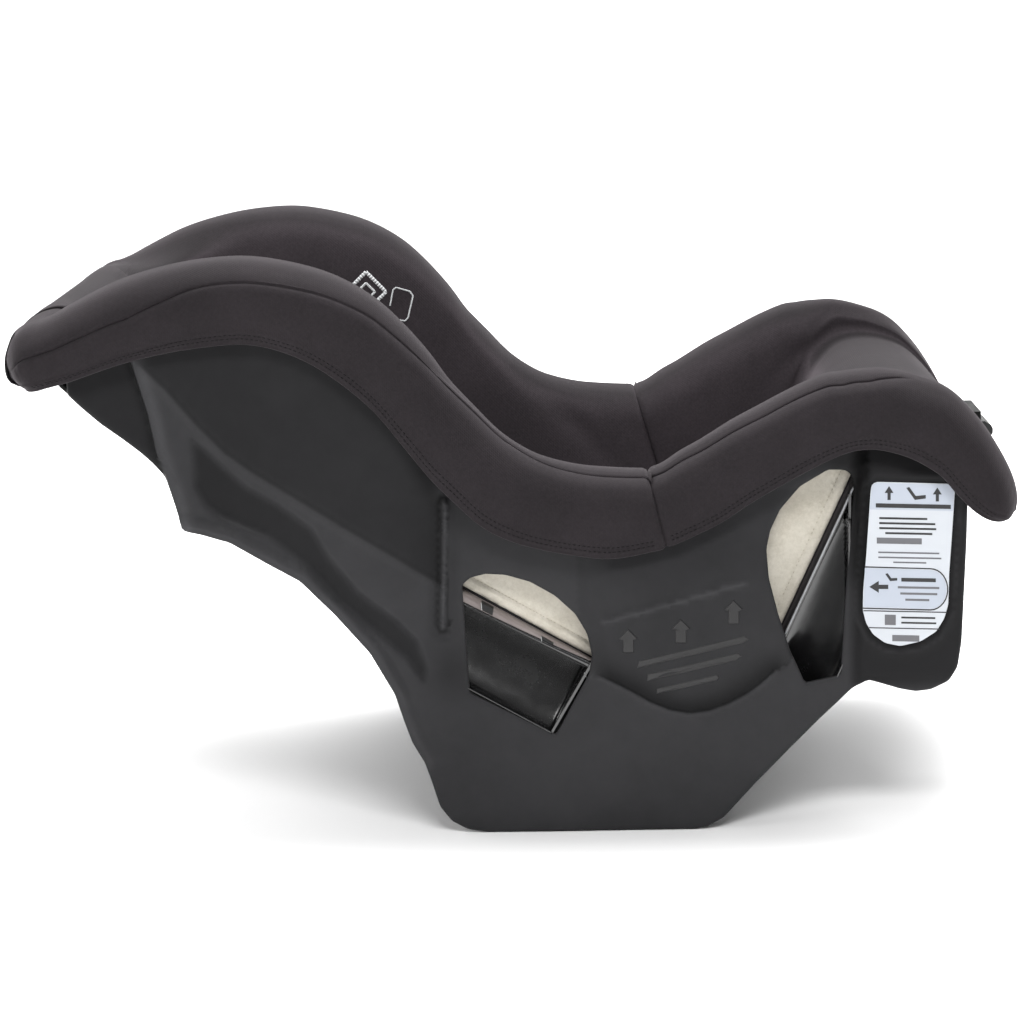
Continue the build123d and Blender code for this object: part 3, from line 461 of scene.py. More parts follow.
def cover_section(name, stations, n_st, reps, crest_y, end_round, seed):
    arr = np.array([[*r, *h, *f, d, q] for r, h, f, d, q in stations], float)
    T = catmull(arr, n_st)
    T = T[:, :]
    # even spacing along the ridge
    path = np.column_stack([T[:, 0], T[:, 1]])
    mid = 0.5 * (T[:, 0:2] + T[:, 4:6])
    step = np.linalg.norm(np.diff(T[:, 0:2], axis=0), axis=1) + 0.6 * np.linalg.norm(np.diff(T[:, 4:6], axis=0), axis=1)
    s = np.concatenate([[0], np.cumsum(step)])
    si = np.linspace(0, s[-1], n_st)
    T = np.column_stack([np.interp(si, s, T[:, k]) for k in range(T.shape[1])])
    arc = np.concatenate([[0], np.cumsum(np.linalg.norm(np.diff(T[:, 0:2], axis=0), axis=1))])
    r2 = np.random.default_rng(seed)
    ph = r2.uniform(0, 6.28, 12)

    # outer rows: crest to seam, seam to hem, fold
    rows_cs = 9
    rows_sh = 34
    V = []
    info = []
    for i in range(n_st):
        R = T[i, 0:2]
        H = T[i, 2:4]
        F = T[i, 4:6]
        d = max(0.2, T[i, 6])
        q = float(np.clip(T[i, 7], 0, 1))
        LH = np.linalg.norm(H - R) + 1e-6
        LF = np.linalg.norm(F - R) + 1e-6
        # rounding of the ends in plan view
        pull = end_round * (1.0 - math.sqrt(max(0.0, 1.0 - q * q)))
        a = arc[i]
        row = []
        # underside of the hem, inside the skirt
        hemw = 6.0 * min(1.0, LH / 30.0)
        # small waves of the free hem and puckers under the seam
        wob = (0.7 * math.sin(a / 19.0 + ph[0]) + 0.45 * math.sin(a / 8.3 + ph[1])) * min(1, LH / 40)
        # height on the skirt h (0 crest .. LH hem) and y
        seam_h = min(d, LH * 0.5)
        out = []
        top_r = 24.0
        f1 = min(1.0, seam_h / 6.0)
        up = [seam_h * t for t in (0.0, 0.18, 0.34)]
        tail = [3.6, 2.2, 1.3, 0.7, 0.3]
        last = seam_h - 3.6 * f1
        up += [seam_h * 0.34 + (last - seam_h * 0.34) * 0.5]
        up += [seam_h - t * f1 for t in tail]
        up.append(seam_h)
        out += up
        f2 = min(1.0, (LH - seam_h) / 24.0)
        dn = [0.3, 0.7, 1.3, 2.2, 3.6]
        out += [seam_h + t * f2 for t in dn]
        h0 = seam_h + 3.6 * f2
        for k in range(1, rows_sh - 5 + 1):
            out.append(h0 + (LH - h0) * (k / (rows_sh - 5)))

        def y_out(h):
            # shoulder then gentle bulge
            e = min(1.0, h / top_r)
            y = crest_y + (HALF - 3.0 - crest_y) * math.sqrt(max(0.0, 1 - (1 - e) ** 2.1))
            t = np.clip((h - 6) / max(LH - 6, 1), 0, 1)
            y += 3.0 * math.sin(math.pi * min(1.0, t * 1.05)) * min(1, LH / 40)
            # pull in at the hem
            y -= 3.2 * max(0.0, (t - 0.86) / 0.14) ** 2
            return y

        pts = []
        for k, h in enumerate(out):
            xz = R + (H - R) * (h / LH)
            y = y_out(h)
            # seam groove
            ds = abs(h - seam_h)
            g = 1.9 * math.exp(-(ds / 0.75) ** 1.4) * min(1, LH / 30) * (1.0 if name == 'back' else float(1 - sm(np.array((R[0] - 279.0) / 20.0))))
            # puffy either side of the seam
            g -= 1.0 * math.exp(-((ds - 5.0) / 3.8) ** 2) * min(1, LH / 30) * (1.0 if name == 'back' else float(1 - sm(np.array((R[0] - 270.0) / 30.0))))
            # gathers just below the seam
            if h > seam_h:
                dd = h - seam_h
                amp = (0.42 if name == 'back' else 0.22) * math.exp(-dd / 10.0) * (0.55 + 0.45 * math.sin(a / 57.0 + ph[2])) * min(1.0, dd / 1.5)
                g += amp * (math.sin(a / 2.1 + 1.3 * math.sin(a / 7.7 + ph[3])) + 0.6 * math.sin(a / 1.23 + ph[4]))
            tt = h / LH
            if tt > 0.9:
                y += wob * (tt - 0.9) / 0.1
            y -= g
            # stitched channel of the binding near the hem
            hh = LH - h
            y -= 0.7 * math.exp(-((hh - 5.5) / 1.0) ** 2) * min(1, LH / 30)
            pts.append((xz[0], y - pull, xz[1]))
        # hem fold: round under and up inside
        dirh = (H - R) / LH
        base_y = pts[-1][1]
        for k in range(1, 8):
            th = math.pi * k / 8
            w = 3.6 * min(1, LH / 30)
            yy = base_y - w * (1 - math.cos(th)) * 0.9
            dz = 2.2 * math.sin(th) * min(1, LH / 30)
            xz = H + dirh * dz
            pts.append((xz[0], yy, xz[1]))
        inner_y = pts[-1][1]
        for k in range(1, 6):
            xz = H - dirh * (k * 6.0 * min(1, LH / 40))
            pts.append((xz[0], inner_y - 0.3 * k, xz[1]))
        outer = pts[::-1]          # from inside of hem up to the crest
        # inner side: crest to floor
        inn = []
        wall = min(LF, 1e9)
        n_in = 34
        yw = 165.0
        depth_f = min(1.0, LF / 60.0)
        corner = 26.0 * depth_f
        for k in range(1, n_in + 1):
            t = k / n_in
            h = LF * t
            e = min(1.0, h / (30.0 * depth_f + 1e-6)) if depth_f > 0.02 else 1.0
            y = crest_y - (crest_y - yw) * math.sqrt(max(0.0, 1 - (1 - e) ** 2.0)) * depth_f
            # corner to the floor
            ce = max(0.0, (h - (LF - corner)) / max(corner, 1e-6))
            y -= corner * (1 - math.sqrt(max(0.0, 1 - ce * ce))) * 0.9
            xz = R + (F - R) * t
            if name == "back":
                tp = min(0.985, max(0.0, (-226 - xz[0]) / 104.0))
                y -= 84.0 * (1 - math.sqrt(1 - tp * tp)) * sm(e * 1.0) * (1 - q)
            else:
                tp = min(0.985, max(0.0, (xz[0] - 262) / 92.0))
                y -= 46.0 * (1 - math.sqrt(1 - tp * tp)) * sm(e * 1.0) * (1 - q)
            inn.append([xz[0], y, xz[1]])
        y_end = inn[-1][1]
        n_fl = 26
        fl = []
        for k in range(1, n_fl + 1):
            t = k / n_fl
            y = y_end * (1 - t)
            # floor runs straight from the corner to the middle
            fl.append([F[0], y, F[1]])
        pts2 = outer + [tuple(p) for p in inn] + [tuple(p) for p in fl]
        V.append([(p[0], max(0.0, p[1]), p[2]) for p in pts2])
        info.append((seam_h, LH))
    V = np.array(V)                      # n_st x m x 3, positive side
    V[:, -1, 1] = 0.0
    return V, arc, info


def edge_roll(V, at_start, r=5.0, stn=9):
    """Rolls the section's end under along its first or last stations, like a piped edge."""
    n = V.shape[0]
    W = V.copy()
    idx = range(stn) if at_start else range(n - 1, n - 1 - stn, -1)
    # grid normals
    du = np.gradient(V, axis=0)
    dv = np.gradient(V, axis=1)
    N = np.cross(du, dv)
    N /= np.linalg.norm(N, axis=2, keepdims=True) + 1e-9
    first = V[0] if at_start else V[-1]
    for i in idx:
        dist = np.linalg.norm(V[i] - first, axis=1)
        x = np.clip(1 - dist / r, 0, 1)
        drop = r * (1 - np.sqrt(np.clip(1 - x * x, 0, 1)))
        W[i] = V[i] - SIGN * N[i] * drop[:, None]
    return W


SIGN = 1.0


def smooth_grid(V, it=2, keep_rows=()):
    for _ in range(it):
        A = V.copy()
        A[1:-1, 1:-1] = 0.5 * V[1:-1, 1:-1] + 0.125 * (V[:-2, 1:-1] + V[2:, 1:-1] + V[1:-1, :-2] + V[1:-1, 2:])
        for k in keep_rows:
            A[:, k] = V[:, k]
        V = A
    return V


def mirror_grid(V):
    L = V[:, ::-1].copy()
    M = V.copy()
    M[:, :, 1] *= -1          # right side, -Y
    # -Y side outer .. centre, then centre .. +Y outer
    return np.concatenate([M, L[:, 1:]], axis=1)


def grid_obj(name, G, mat, mats=(), face_mat=None):
    n, m, _ = G.shape
    verts = [P(*p) for p in G.reshape(-1, 3)]
    faces = []
    for i in range(n - 1):
        for j in range(m - 1):
            faces.append((i * m + j, (i + 1) * m + j, (i + 1) * m + j + 1, i * m + j + 1))
    o = new_obj(name, verts, faces, mat)
    for k in mats:
        o.data.materials.append(k)
    if face_mat is not None:
        o.data.polygons.foreach_set("material_index", face_mat(n, m))
    return o


N_BACK, N_SEAT = 250, 190
Vb, arc_b, info_b = cover_section("back", BACK_ST, N_BACK, None, 190.0, 34.0, 11)
Vs, arc_s, info_s = cover_section("seat", SEAT_ST, N_SEAT, None, 190.0, 26.0, 12)


def normals(V):
    du = np.gradient(V, axis=0)
    dv = np.gradient(V, axis=1)
    N = np.cross(du, dv)
    return N / (np.linalg.norm(N, axis=2, keepdims=True) + 1e-9)


# make the roll at the crease: find which sign of the grid normal points out
def outward_sign(V):
    N = normals(V)
    i = V.shape[0] // 2
    j = 30
    return 1.0 if N[i, j, 1] > 0 else -1.0


def soft(V, seed, amp=1.0):
    """Slow unevenness of stuffed fabric, along the outward normal."""
    N = normals(V) * outward_sign(V)
    r = np.random.default_rng(seed)
    X, Y, Z = V[..., 0], V[..., 1], V[..., 2]
    D = np.zeros(X.shape)
    for _ in range(14):
        k = r.normal(0, 1, 3)
        k = k / np.linalg.norm(k) / r.uniform(16, 60)
        D += np.sin(X * k[0] + Y * k[1] + Z * k[2] + r.uniform(0, 6.28))
    D *= amp * 0.16
    D *= sm((np.abs(Y) - 70.0) / 40.0)
    V = V + N * D[..., None]
    low = 0.9 * (1 - sm((np.abs(Y) - 75.0) / 40.0)) * sm((X + 300.0) / 30.0) * (1 - sm((X - 60.0) / 20.0))
    V[..., 0] -= NX * low
    V[..., 2] -= NZ * low
    return V


for nm in ("b", "s"):
    V = Vb if nm == "b" else Vs
    V = soft(V, 5 if nm == "b" else 6, 1.0)
    SIGN = outward_sign(V)
    V = edge_roll(V, True, r=6.5, stn=9)
    if nm == "b":
        Vb = V
    else:
        Vs = V
Gb = mirror_grid(Vb)
Gs = mirror_grid(Vs)


def clamp_box(G):
    lo = np.array(CAD_BOX[0]) * 1000 + np.array([CX, 0, 0])
    hi = np.array(CAD_BOX[1]) * 1000 + np.array([CX, 0, 0])
    G = G.copy()
    G[..., 1] = np.clip(G[..., 1], lo[1] - 2, hi[1] + 2)
    return G


def hem_mat(n, m):
    half = (m + 1) // 2
    out = []
    for i in range(n - 1):
        for j in range(m - 1):
            jj = j if j < half - 1 else (m - 2 - j)
            out.append(1 if 12 <= jj < 12 else 0)
    return out


def puff(name, G, cap, pins, pressure=4.0, frames=18, k=2):
    """Short cloth run on a coarse copy of the grid: the cover swells between its sewn lines."""
    n, m, _ = G.shape
    ri = np.unique(np.concatenate([np.arange(0, n, k), [n - 1]]))
    ci = np.unique(np.concatenate([np.arange(0, m, k), [m - 1], np.array(pins)]))
    C = G[np.ix_(ri, ci)]
    o = grid_obj("tmp_" + name, C, M_COVER)
    fix_normals(o)
    me = o.data
    cnt = len(me.vertices)
    rest = np.empty(cnt * 3)
    me.vertices.foreach_get("co", rest)
    pinset = set(int(v) for v in pins)
    idx = []
    for a, i in enumerate(ri):
        for b, j in enumerate(ci):
            if i < 4 or i > n - 14 or int(j) in pinset:
                idx.append(a * len(ci) + b)
    vg = o.vertex_groups.new(name="pin")
    vg.add(idx, 1.0, "REPLACE")
    c = o.modifiers.new("cloth", "CLOTH")
    st = c.settings
    st.quality = 5
    st.mass = 0.2
    st.tension_stiffness = 18
    st.compression_stiffness = 18
    st.shear_stiffness = 8
    st.bending_stiffness = 0.4
    st.vertex_group_mass = "pin"
    st.use_pressure = True
    st.uniform_pressure_force = pressure
    st.effector_weights.gravity = 0.0
    c.collision_settings.use_collision = False
    c.collision_settings.use_self_collision = False
    c.point_cache.frame_start = 1
    c.point_cache.frame_end = frames
    sc = bpy.context.scene
    for f in range(1, frames + 1):
        sc.frame_set(f)
    dg = bpy.context.evaluated_depsgraph_get()
    ev = o.evaluated_get(dg)
    tmp = ev.to_mesh()
    co = np.empty(len(tmp.vertices) * 3)
    tmp.vertices.foreach_get("co", co)
    ev.to_mesh_clear()
    d = (co - rest).reshape(-1, 3)
    d[~np.isfinite(d)] = 0.0
    L = np.linalg.norm(d, axis=1, keepdims=True)
    print("cloth", name, "verts", cnt, "mean mm", float(L.mean() * 1000), "max mm", float(L.max() * 1000))
    d *= cap / (cap + np.maximum(L, 0.0))
    D = (d * 1000.0).reshape(len(ri), len(ci), 3)
    # even it left to right and light smoothing, then back to the fine grid
    for _ in range(2):
        E = D.copy()
        E[1:-1, 1:-1] = 0.5 * D[1:-1, 1:-1] + 0.125 * (D[:-2, 1:-1] + D[2:, 1:-1] + D[1:-1, :-2] + D[1:-1, 2:])
        D = E
    R1 = np.empty((n, len(ci), 3))
    for q in range(3):
        for b in range(len(ci)):
            R1[:, b, q] = np.interp(np.arange(n), ri, D[:, b, q])
    R2 = np.empty((n, m, 3))
    for q in range(3):
        for a in range(n):
            R2[a, :, q] = np.interp(np.arange(m), ci, R1[a, :, q])
    bpy.data.objects.remove(o)
    sc.frame_set(1)
    return G + R2 * sm((np.abs(G[..., 1:2]) - 78.0) / 50.0)


def pin_cols(m):
    half = m // 2
    p = []
    for j in (0, 5, 12, 14, 15, 19, 20, OUT0 + 34, OUT0 + 35):
        p += [j, m - 1 - j]
    # floor: the corner rows stay, the middle of the floor is stitched down
    p += [half, half - 13, half + 13, half - 26, half + 26]
    return sorted(set(p))


OUT0 = 12
Gb = puff("back", Gb, 0.0075, pin_cols(Gb.shape[1]))
Gs = puff("seat", Gs, 0.0075, pin_cols(Gs.shape[1]))

def cover_painted_shading(G):
    """Painted light and shade on the knit: lighter down the inner sides and darker on the floors that face up, standing
    in for the studio light.
    """
    n, m, _ = G.shape
    half = (m + 1) // 2
    T = np.ones((n, m))
    NZ = np.abs(normals(G)[..., 2])
    for i in range(n):
        for side in (0, 1):
            cols = np.arange(0, half) if side == 0 else np.arange(m - 1, half - 2, -1)
            L = G[i, cols]
            r = int(np.argmax(L[:, 2]))
            step = np.r_[0.0, np.cumsum(np.linalg.norm(np.diff(L, axis=0), axis=1))]
            d = step - step[r]
            flat = sm((NZ[i, cols] - 0.45) / 0.35)
            t = 1.0 + 1.15 * sm(d / 45.0) * (1 - flat)
            t = t * (1 - 0.42 * flat * sm((d - 6.0) / 20.0))
            T[i, cols] = t
    return T


def set_painted_shading(o, T):
    at = o.data.attributes.new("painted_shading", "FLOAT", "POINT")
    at.data.foreach_set("value", T.reshape(-1).astype(np.float32))


Gb = clamp_box(Gb)
Gs = clamp_box(Gs)
cover_back = grid_obj("cover_back_knit", Gb, M_COVER_PAINTED, (M_BIND,), hem_mat)
cover_seat = grid_obj("cover_seat_knit", Gs, M_COVER_PAINTED, (M_BIND,), hem_mat)
set_painted_shading(cover_back, cover_painted_shading(Gb))
set_painted_shading(cover_seat, cover_painted_shading(Gs))
for o in (cover_back, cover_seat):
    fix_normals(o)
place(cover_back, "seat", "cover_fabric", "cover_back")
place(cover_seat, "seat", "cover_fabric", "cover_seat")


# ------------------------------------------------------------------ stitches
def dashes(name, line, mat, body="seat", slot="cover_fabric", pitch=3.6, length=2.4, rad=0.38, lift=0.2, normal=None):
    """Row of thread stitches along a 3-D line in design mm."""
    L = np.asarray(line, float)
    d = np.concatenate([[0], np.cumsum(np.linalg.norm(np.diff(L, axis=0), axis=1))])
    n = int(d[-1] / pitch)
    verts, faces = [], []
    for k in range(n):
        s0 = k * pitch + 0.4
        s1 = s0 + length
        ps = [np.array([np.interp(s, d, L[:, c]) for c in range(3)]) for s in (s0, (s0 + s1) / 2, s1)]
        t = ps[2] - ps[0]
        t /= np.linalg.norm(t) + 1e-9
        a = np.cross(t, [0.3, 0.2, 0.93])
        a /= np.linalg.norm(a) + 1e-9
        b = np.cross(t, a)
        base = len(verts)
        for j, (p, r) in enumerate(zip(ps, (0.35, 1.0, 0.35))):
            for q in range(6):
                th = q * math.pi / 3
                v = p + rad * r * (a * math.cos(th) + b * math.sin(th))
                verts.append(P(*v))
        for j in range(2):
            for q in range(6):
                q2 = (q + 1) % 6
                faces.append((base + j * 6 + q, base + j * 6 + q2, base + (j + 1) * 6 + q2, base + (j + 1) * 6 + q))
        faces.append(tuple(base + q for q in range(6))[::-1])
        faces.append(tuple(base + 12 + q for q in range(6)))
    o = new_obj(name, verts, faces, mat)
    fix_normals(o)
    return place(o, body, slot)


def cover_row(G, j, i0, i1, lift=0.25):
    N = normals(G)
    row = G[i0:i1, j]
    nn = N[i0:i1, j]
    sgn = 1.0 if (nn[len(nn) // 2, 1] * row[len(row) // 2, 1]) > 0 else -1.0
    return row + nn * sgn * lift


# rows counted from the inside of the hem: 5 inner + 7 fold, then skirt rows
m_half = Vb.shape[1]
OUT0 = 5 + 7
row_hem1 = OUT0 + 2
row_hem2 = OUT0 + 4
row_seam = OUT0 + 34
for tag, G in (("back", Gb), ("seat", Gs)):
    n = G.shape[0]
    m = G.shape[1]
    e = n - (26 if tag == "back" else 22)
    for side, mirr in (("right", False), ("left", True)):
        def J(j):
            return (m - 1 - j) if mirr else j
        dashes("stitch_hem_%s_%s" % (tag, side), cover_row(G, J(row_hem2), 4, e, 0.15), M_THREAD)
        dashes("stitch_hem2_%s_%s" % (tag, side), cover_row(G, J(row_hem1), 4, e, 0.15), M_THREAD)


# ---------------------------------------------------------- shell side walls
WALL = [(-329, 357), (-328, 344), (-315, 332), (-294, 317), (-274, 299), (-262, 283), (-254, 262), (-247, 243),
        (-242, 236), (-235, 231.5), (-226, 233), (-214, 228), (-191, 213), (-168, 195), (-144.5, 174.6), (-121, 150),
        (-110, 136), (-98, 117), (-87, 87), (-81.6, 70), (-76, 59), (-68.5, 49), (-64.6, 26.6), (-53, 9),
        (-41, 2.3), (-26.5, 0), (131.8, 0), (141.7, 1.7), (154, 8.7), (166, 22), (178, 35.3), (202.5, 61),
        (226.6, 85.7), (238.6, 97.2), (250.5, 108.7), (262.5, 116.3), (274.5, 112.2), (286.5, 108), (298.5, 105.6),
        (310.4, 107), (322.3, 113.7), (329, 126), (331.7, 145.4), (334.4, 222), (334.8, 252.3)]
WINDOW_BACK = [(-40.4, 194.3), (-34.3, 199.6), (-23.1, 202.4), (-8.2, 201.4), (10.4, 195.7), (28.8, 184.6),
               (43.5, 170.5), (52.3, 154.9), (55.7, 138.5), (53.2, 123), (42.4, 103.7), (32.2, 84.3), (27.6, 76.5),
               (-36.6, 110.5), (-38.6, 151.8)]
WINDOW_SEAT = [(249.8, 272.7), (244.7, 276.6), (232.1, 276.8), (211.5, 264.4), (196.7, 247.2), (189.3, 232.2),
               (186.3, 218.5), (187.7, 197.9), (194.4, 170.9), (204.1, 139.8), (215.3, 114), (242.2, 119.8),
               (247.1, 208.3), (251.4, 261.4)]


def chaikin(pts, sharp=(), it=2):
    """Rounds a closed outline, keeping the listed corner indices nearly sharp."""
    pts = [np.array(p, float) for p in pts]
    flags = [i in sharp for i in range(len(pts))]
    for _ in range(it):
        out, fl = [], []
        n = len(pts)
        for i in range(n):
            a, b = pts[i], pts[(i + 1) % n]
            if flags[i]:
                out.append(a)
                fl.append(True)
            else:
                out.append(a * 0.75 + b * 0.25)
                fl.append(False)
            if not flags[(i + 1) % n]:
                out.append(a * 0.25 + b * 0.75)
                fl.append(False)
        pts, flags = out, fl
    return np.array(pts)


def offset_closed(pts, d):
    """Moves a closed outline inwards by d (positive = to the left of its direction)."""
    n = len(pts)
    out = np.empty_like(pts)
    for i in range(n):
        a = pts[i] - pts[i - 1]
        b = pts[(i + 1) % n] - pts[i]
        a = a / (np.linalg.norm(a) + 1e-9)
        b = b / (np.linalg.norm(b) + 1e-9)
        nn = np.array([-(a[1] + b[1]), a[0] + b[0]])
        L = np.linalg.norm(nn) + 1e-9
        nn /= L
        c = max(0.5, nn[0] * -a[1] + nn[1] * a[0])
        out[i] = pts[i] + nn * d / c
    return out


def area2(p):
    x, y = p[:, 0], p[:, 1]
    return 0.5 * np.sum(x * np.roll(y, -1) - np.roll(x, -1) * y)


def inside(px, pz, poly):
    c = np.zeros(px.shape, bool)
    n = len(poly)
    j = n - 1
    for i in range(n):
        xi, zi = poly[i]
        xj, zj = poly[j]
        hit = ((zi > pz) != (zj > pz)) & (px < (xj - xi) * (pz - zi) / (zj - zi + 1e-12) + xi)
        c ^= hit
        j = i
    return c


def dist_line(px, pz, line):
    """Distance to an open line and signed side of it."""
    best = np.full(px.shape, 1e9)
    side = np.zeros(px.shape)
    L = np.asarray(line, float)
    for a, b in zip(L[:-1], L[1:]):
        d = b - a
        LL = d @ d + 1e-9
        t = np.clip(((px - a[0]) * d[0] + (pz - a[1]) * d[1]) / LL, 0, 1)
        qx, qz = a[0] + t * d[0], a[1] + t * d[1]
        dd = np.hypot(px - qx, pz - qz)
        s = np.sign((px - a[0]) * -d[1] + (pz - a[1]) * d[0])
        m = dd < best - 1e-6
        best = np.where(m, dd, best)
        side = np.where(m, s, side)
    return best, side


def offset_open(pts, d):
    pts = [np.array(p, float) for p in pts]
    out = []
    for i, p in enumerate(pts):
        a = (p - pts[i - 1]) if i else (pts[1] - p)
        b = (pts[i + 1] - p) if i < len(pts) - 1 else a
        a = a / np.linalg.norm(a)
        b = b / np.linalg.norm(b)
        nn = np.array([-(a[1] + b[1]), a[0] + b[0]])
        nn /= np.linalg.norm(nn)
        c = max(0.35, nn[0] * -a[1] + nn[1] * a[0])
        out.append(p + nn * d / c)
    return out


RIDGE = RIDGE_BACK[::-1] + RIDGE_SEAT[1:]
RIM = [p for p in offset_open(RIDGE, -14.0) if p[0] > -361]
CREASE_LONG = [(-213, 386), (-206, 378.5), (-188, 363), (-170.5, 348), (-156, 337), (-127.5, 314), (-99, 290.5), (-76, 274), (-58, 261.5)]
REAR_EDGE = [(-281, 372), (-279, 366), (-268, 324), (-258.5, 286), (-247, 243)]
SHIELD = [(54, 131), (62, 125.5), (76.4, 115.8), (98.8, 103.7), (113, 95.6), (128.8, 91.2), (140, 90.6), (151.4, 93.0), (163, 98.2),
          (174, 106.0), (184, 116.2), (192.8, 129.5), (199, 141), (206, 156)]
POD_LINE = [(254, 285), (253.5, 262), (252.5, 178), (256, 160), (264, 147), (272, 139.5), (281, 134.5)]


def from_px(pts, y=-200.0, sc=1.0, ox=0.0, oy=0.0):
    return [px_to_xz(a * sc + ox, b * sc + oy, y) for a, b in pts]


CREASE_LONG = from_px([(78, 48), (90, 60), (130, 97), (190, 165), (250, 225), (300, 260), (390, 315), (480, 370), (600, 440), (680, 490)], sc=0.5, ox=100, oy=340)
REAR_EDGE = from_px([(56, 30), (64, 55), (95, 150), (112, 225), (130, 272), (162, 374)], sc=0.5, ox=100, oy=340)
HOLLOW = from_px([(176, 186), (215, 215), (265, 262), (300, 292), (360, 325), (428, 375), (462, 432), (520, 500), (600, 560), (640, 600),
                  (662, 660), (650, 700), (606, 640), (545, 590), (474, 530), (404, 455), (335, 404), (240, 364), (206, 338), (182, 296)],
                 sc=0.5, ox=100, oy=340)
RIM_LOW = from_px([(165, 378), (176, 383), (200, 388), (260, 405), (340, 450), (400, 482), (470, 550), (540, 625), (590, 710), (610, 770), (625, 805), (650, 848)],
                  sc=0.5, ox=100, oy=340)
BEAD = from_px([(690, 326), (689, 420), (686, 574)], sc=0.5, ox=100, oy=340)
SHIELD = from_px([(400, 338), (440, 352), (500, 382), (550, 410), (600, 430), (650, 438), (700, 431), (750, 412), (800, 385), (825, 366), (862, 334)],
                 sc=0.4, ox=430, oy=540)


def fields(x, z):
    """Distances and masks shared by the relief and the painted shading of the side wall."""
    F = {}
    F["cr"] = dist_line(x, z, CREASE_LONG)
    F["re"] = dist_line(x, z, REAR_EDGE)
    hp = np.array(HOLLOW, float)
    F["hd"] = dist_line(x, z, np.vstack([hp, hp[:1]]))[0]
    F["hi"] = inside(x, z, hp)
    F["rl"] = dist_line(x, z, RIM_LOW)
    F["bd"] = dist_line(x, z, BEAD)
    F["sh"] = dist_line(x, z, SHIELD)
    return F


def relief(x, z):
    """How far the outer skin stands out from |y| = 195.2, in mm."""
    F = fields(x, z)
    main = sm((-50 - x) / 30.0)
    # upper panel above the long crease stands out, the lower one falls back
    d, s = F["cr"]
    above = s > 0
    y = np.where(above, 6.4 - 0.8 * sm(1 - d / 5.0), 6.4 - 0.8 - 2.6 * sm(d / 7.0)) * main
    # dark hollow between the crease and the lower rim
    y += -3.0 * np.where(F["hi"], sm(F["hd"] / 5.0), 0.0) * main
    # rolled lower rim of the rear part
    dr = F["rl"][0]
    y += 3.2 * np.sqrt(np.clip(1 - ((dr - 4.0) / 5.0) ** 2, 0, 1)) * sm((-60 - x) / 30.0)
    # rear edge: the wall steps back to the wing behind it
    d, s = F["re"]
    behind = x < -215
    w = sm((s * d + 0.9) / 1.8)
    rear = 0.4 + 1.4 * sm((d - 10) / 40.0)
    front = y + 1.6 * sm(1 - d / 7.0) * (x < -200)
    y = np.where(behind, rear + (front - rear) * w, front)
    # vertical bead
    d, s = F["bd"]
    y += 4.8 * np.sqrt(np.clip(1 - (d / 3.0) ** 2, 0, 1))
    y += -1.8 * np.exp(-((d - 6.6) / 3.0) ** 2) * np.where(x < BEAD[1][0], 1.0, 0.4) * sm((z - 130) / 26) * sm((268 - z) / 12)
    # raised shield between the windows
    d, s = F["sh"]
    ins = (s > 0) & (z < 262) & (x > 48) & (x < 216)
    t = np.clip(d / 34.0, 0, 1)
    y += np.where(ins, 9.6 * np.sqrt(np.clip(1 - (1 - t) ** 2, 0, 1)) * sm((258 - z) / 75.0) * sm((x - 50) / 22.0) * sm((216 - x) / 24.0), 0.0)
    y += np.where((s < 0) & (x > 40) & (x < 220), 0.8 * np.exp(-(d / 2.0) ** 2), 0.0)
    # straight ledge across the shield
    led = LEDGE
    d, s = dist_line(x, z, led)
    y += np.where(s > 0, 1.5, -0.3) * np.exp(-(d / 3.0) ** 2) * sm((x - led[0][0] + 4) / 8.0) * sm((led[1][0] + 4 - x) / 8.0)
    # pod panel around the label stands proud
    pod = sm((x - 251.5) / 6.5) * sm((z - 106) / 16.0) * sm((300 - z) / 30.0)
    y += 5.4 * pod
    # rounded frame around the label
    lf = LABEL_XZ
    dl, _ = dist_line(x, z, np.vstack([lf, lf[:1]]))
    il = inside(x, z, lf)
    y += np.where(il, 0.0, 1.5 * np.exp(-((dl - 5.6) / 2.2) ** 2)) * (x > 254) * sm((300 - z) / 10)
    # short vertical rib beside the right window
    d, s = dist_line(x, z, [px_to_xz(866, 461, -200), px_to_xz(866, 490, -200)])
    y += 2.8 * np.sqrt(np.clip(1 - (d / 1.3) ** 2, 0, 1))
    # gentle warp of a large moulding
    y += (0.5 * np.sin(x / 47.0 + 0.6) * np.sin(z / 38.0 + 1.0) + 0.16 * np.sin(x / 17.0 + z / 23.0)) * (1 - sm((x - 236) / 14.0)) + 0.5
    return y


LEDGE = from_px([(428, 206), (790, 104)], sc=0.4, ox=430, oy=540)


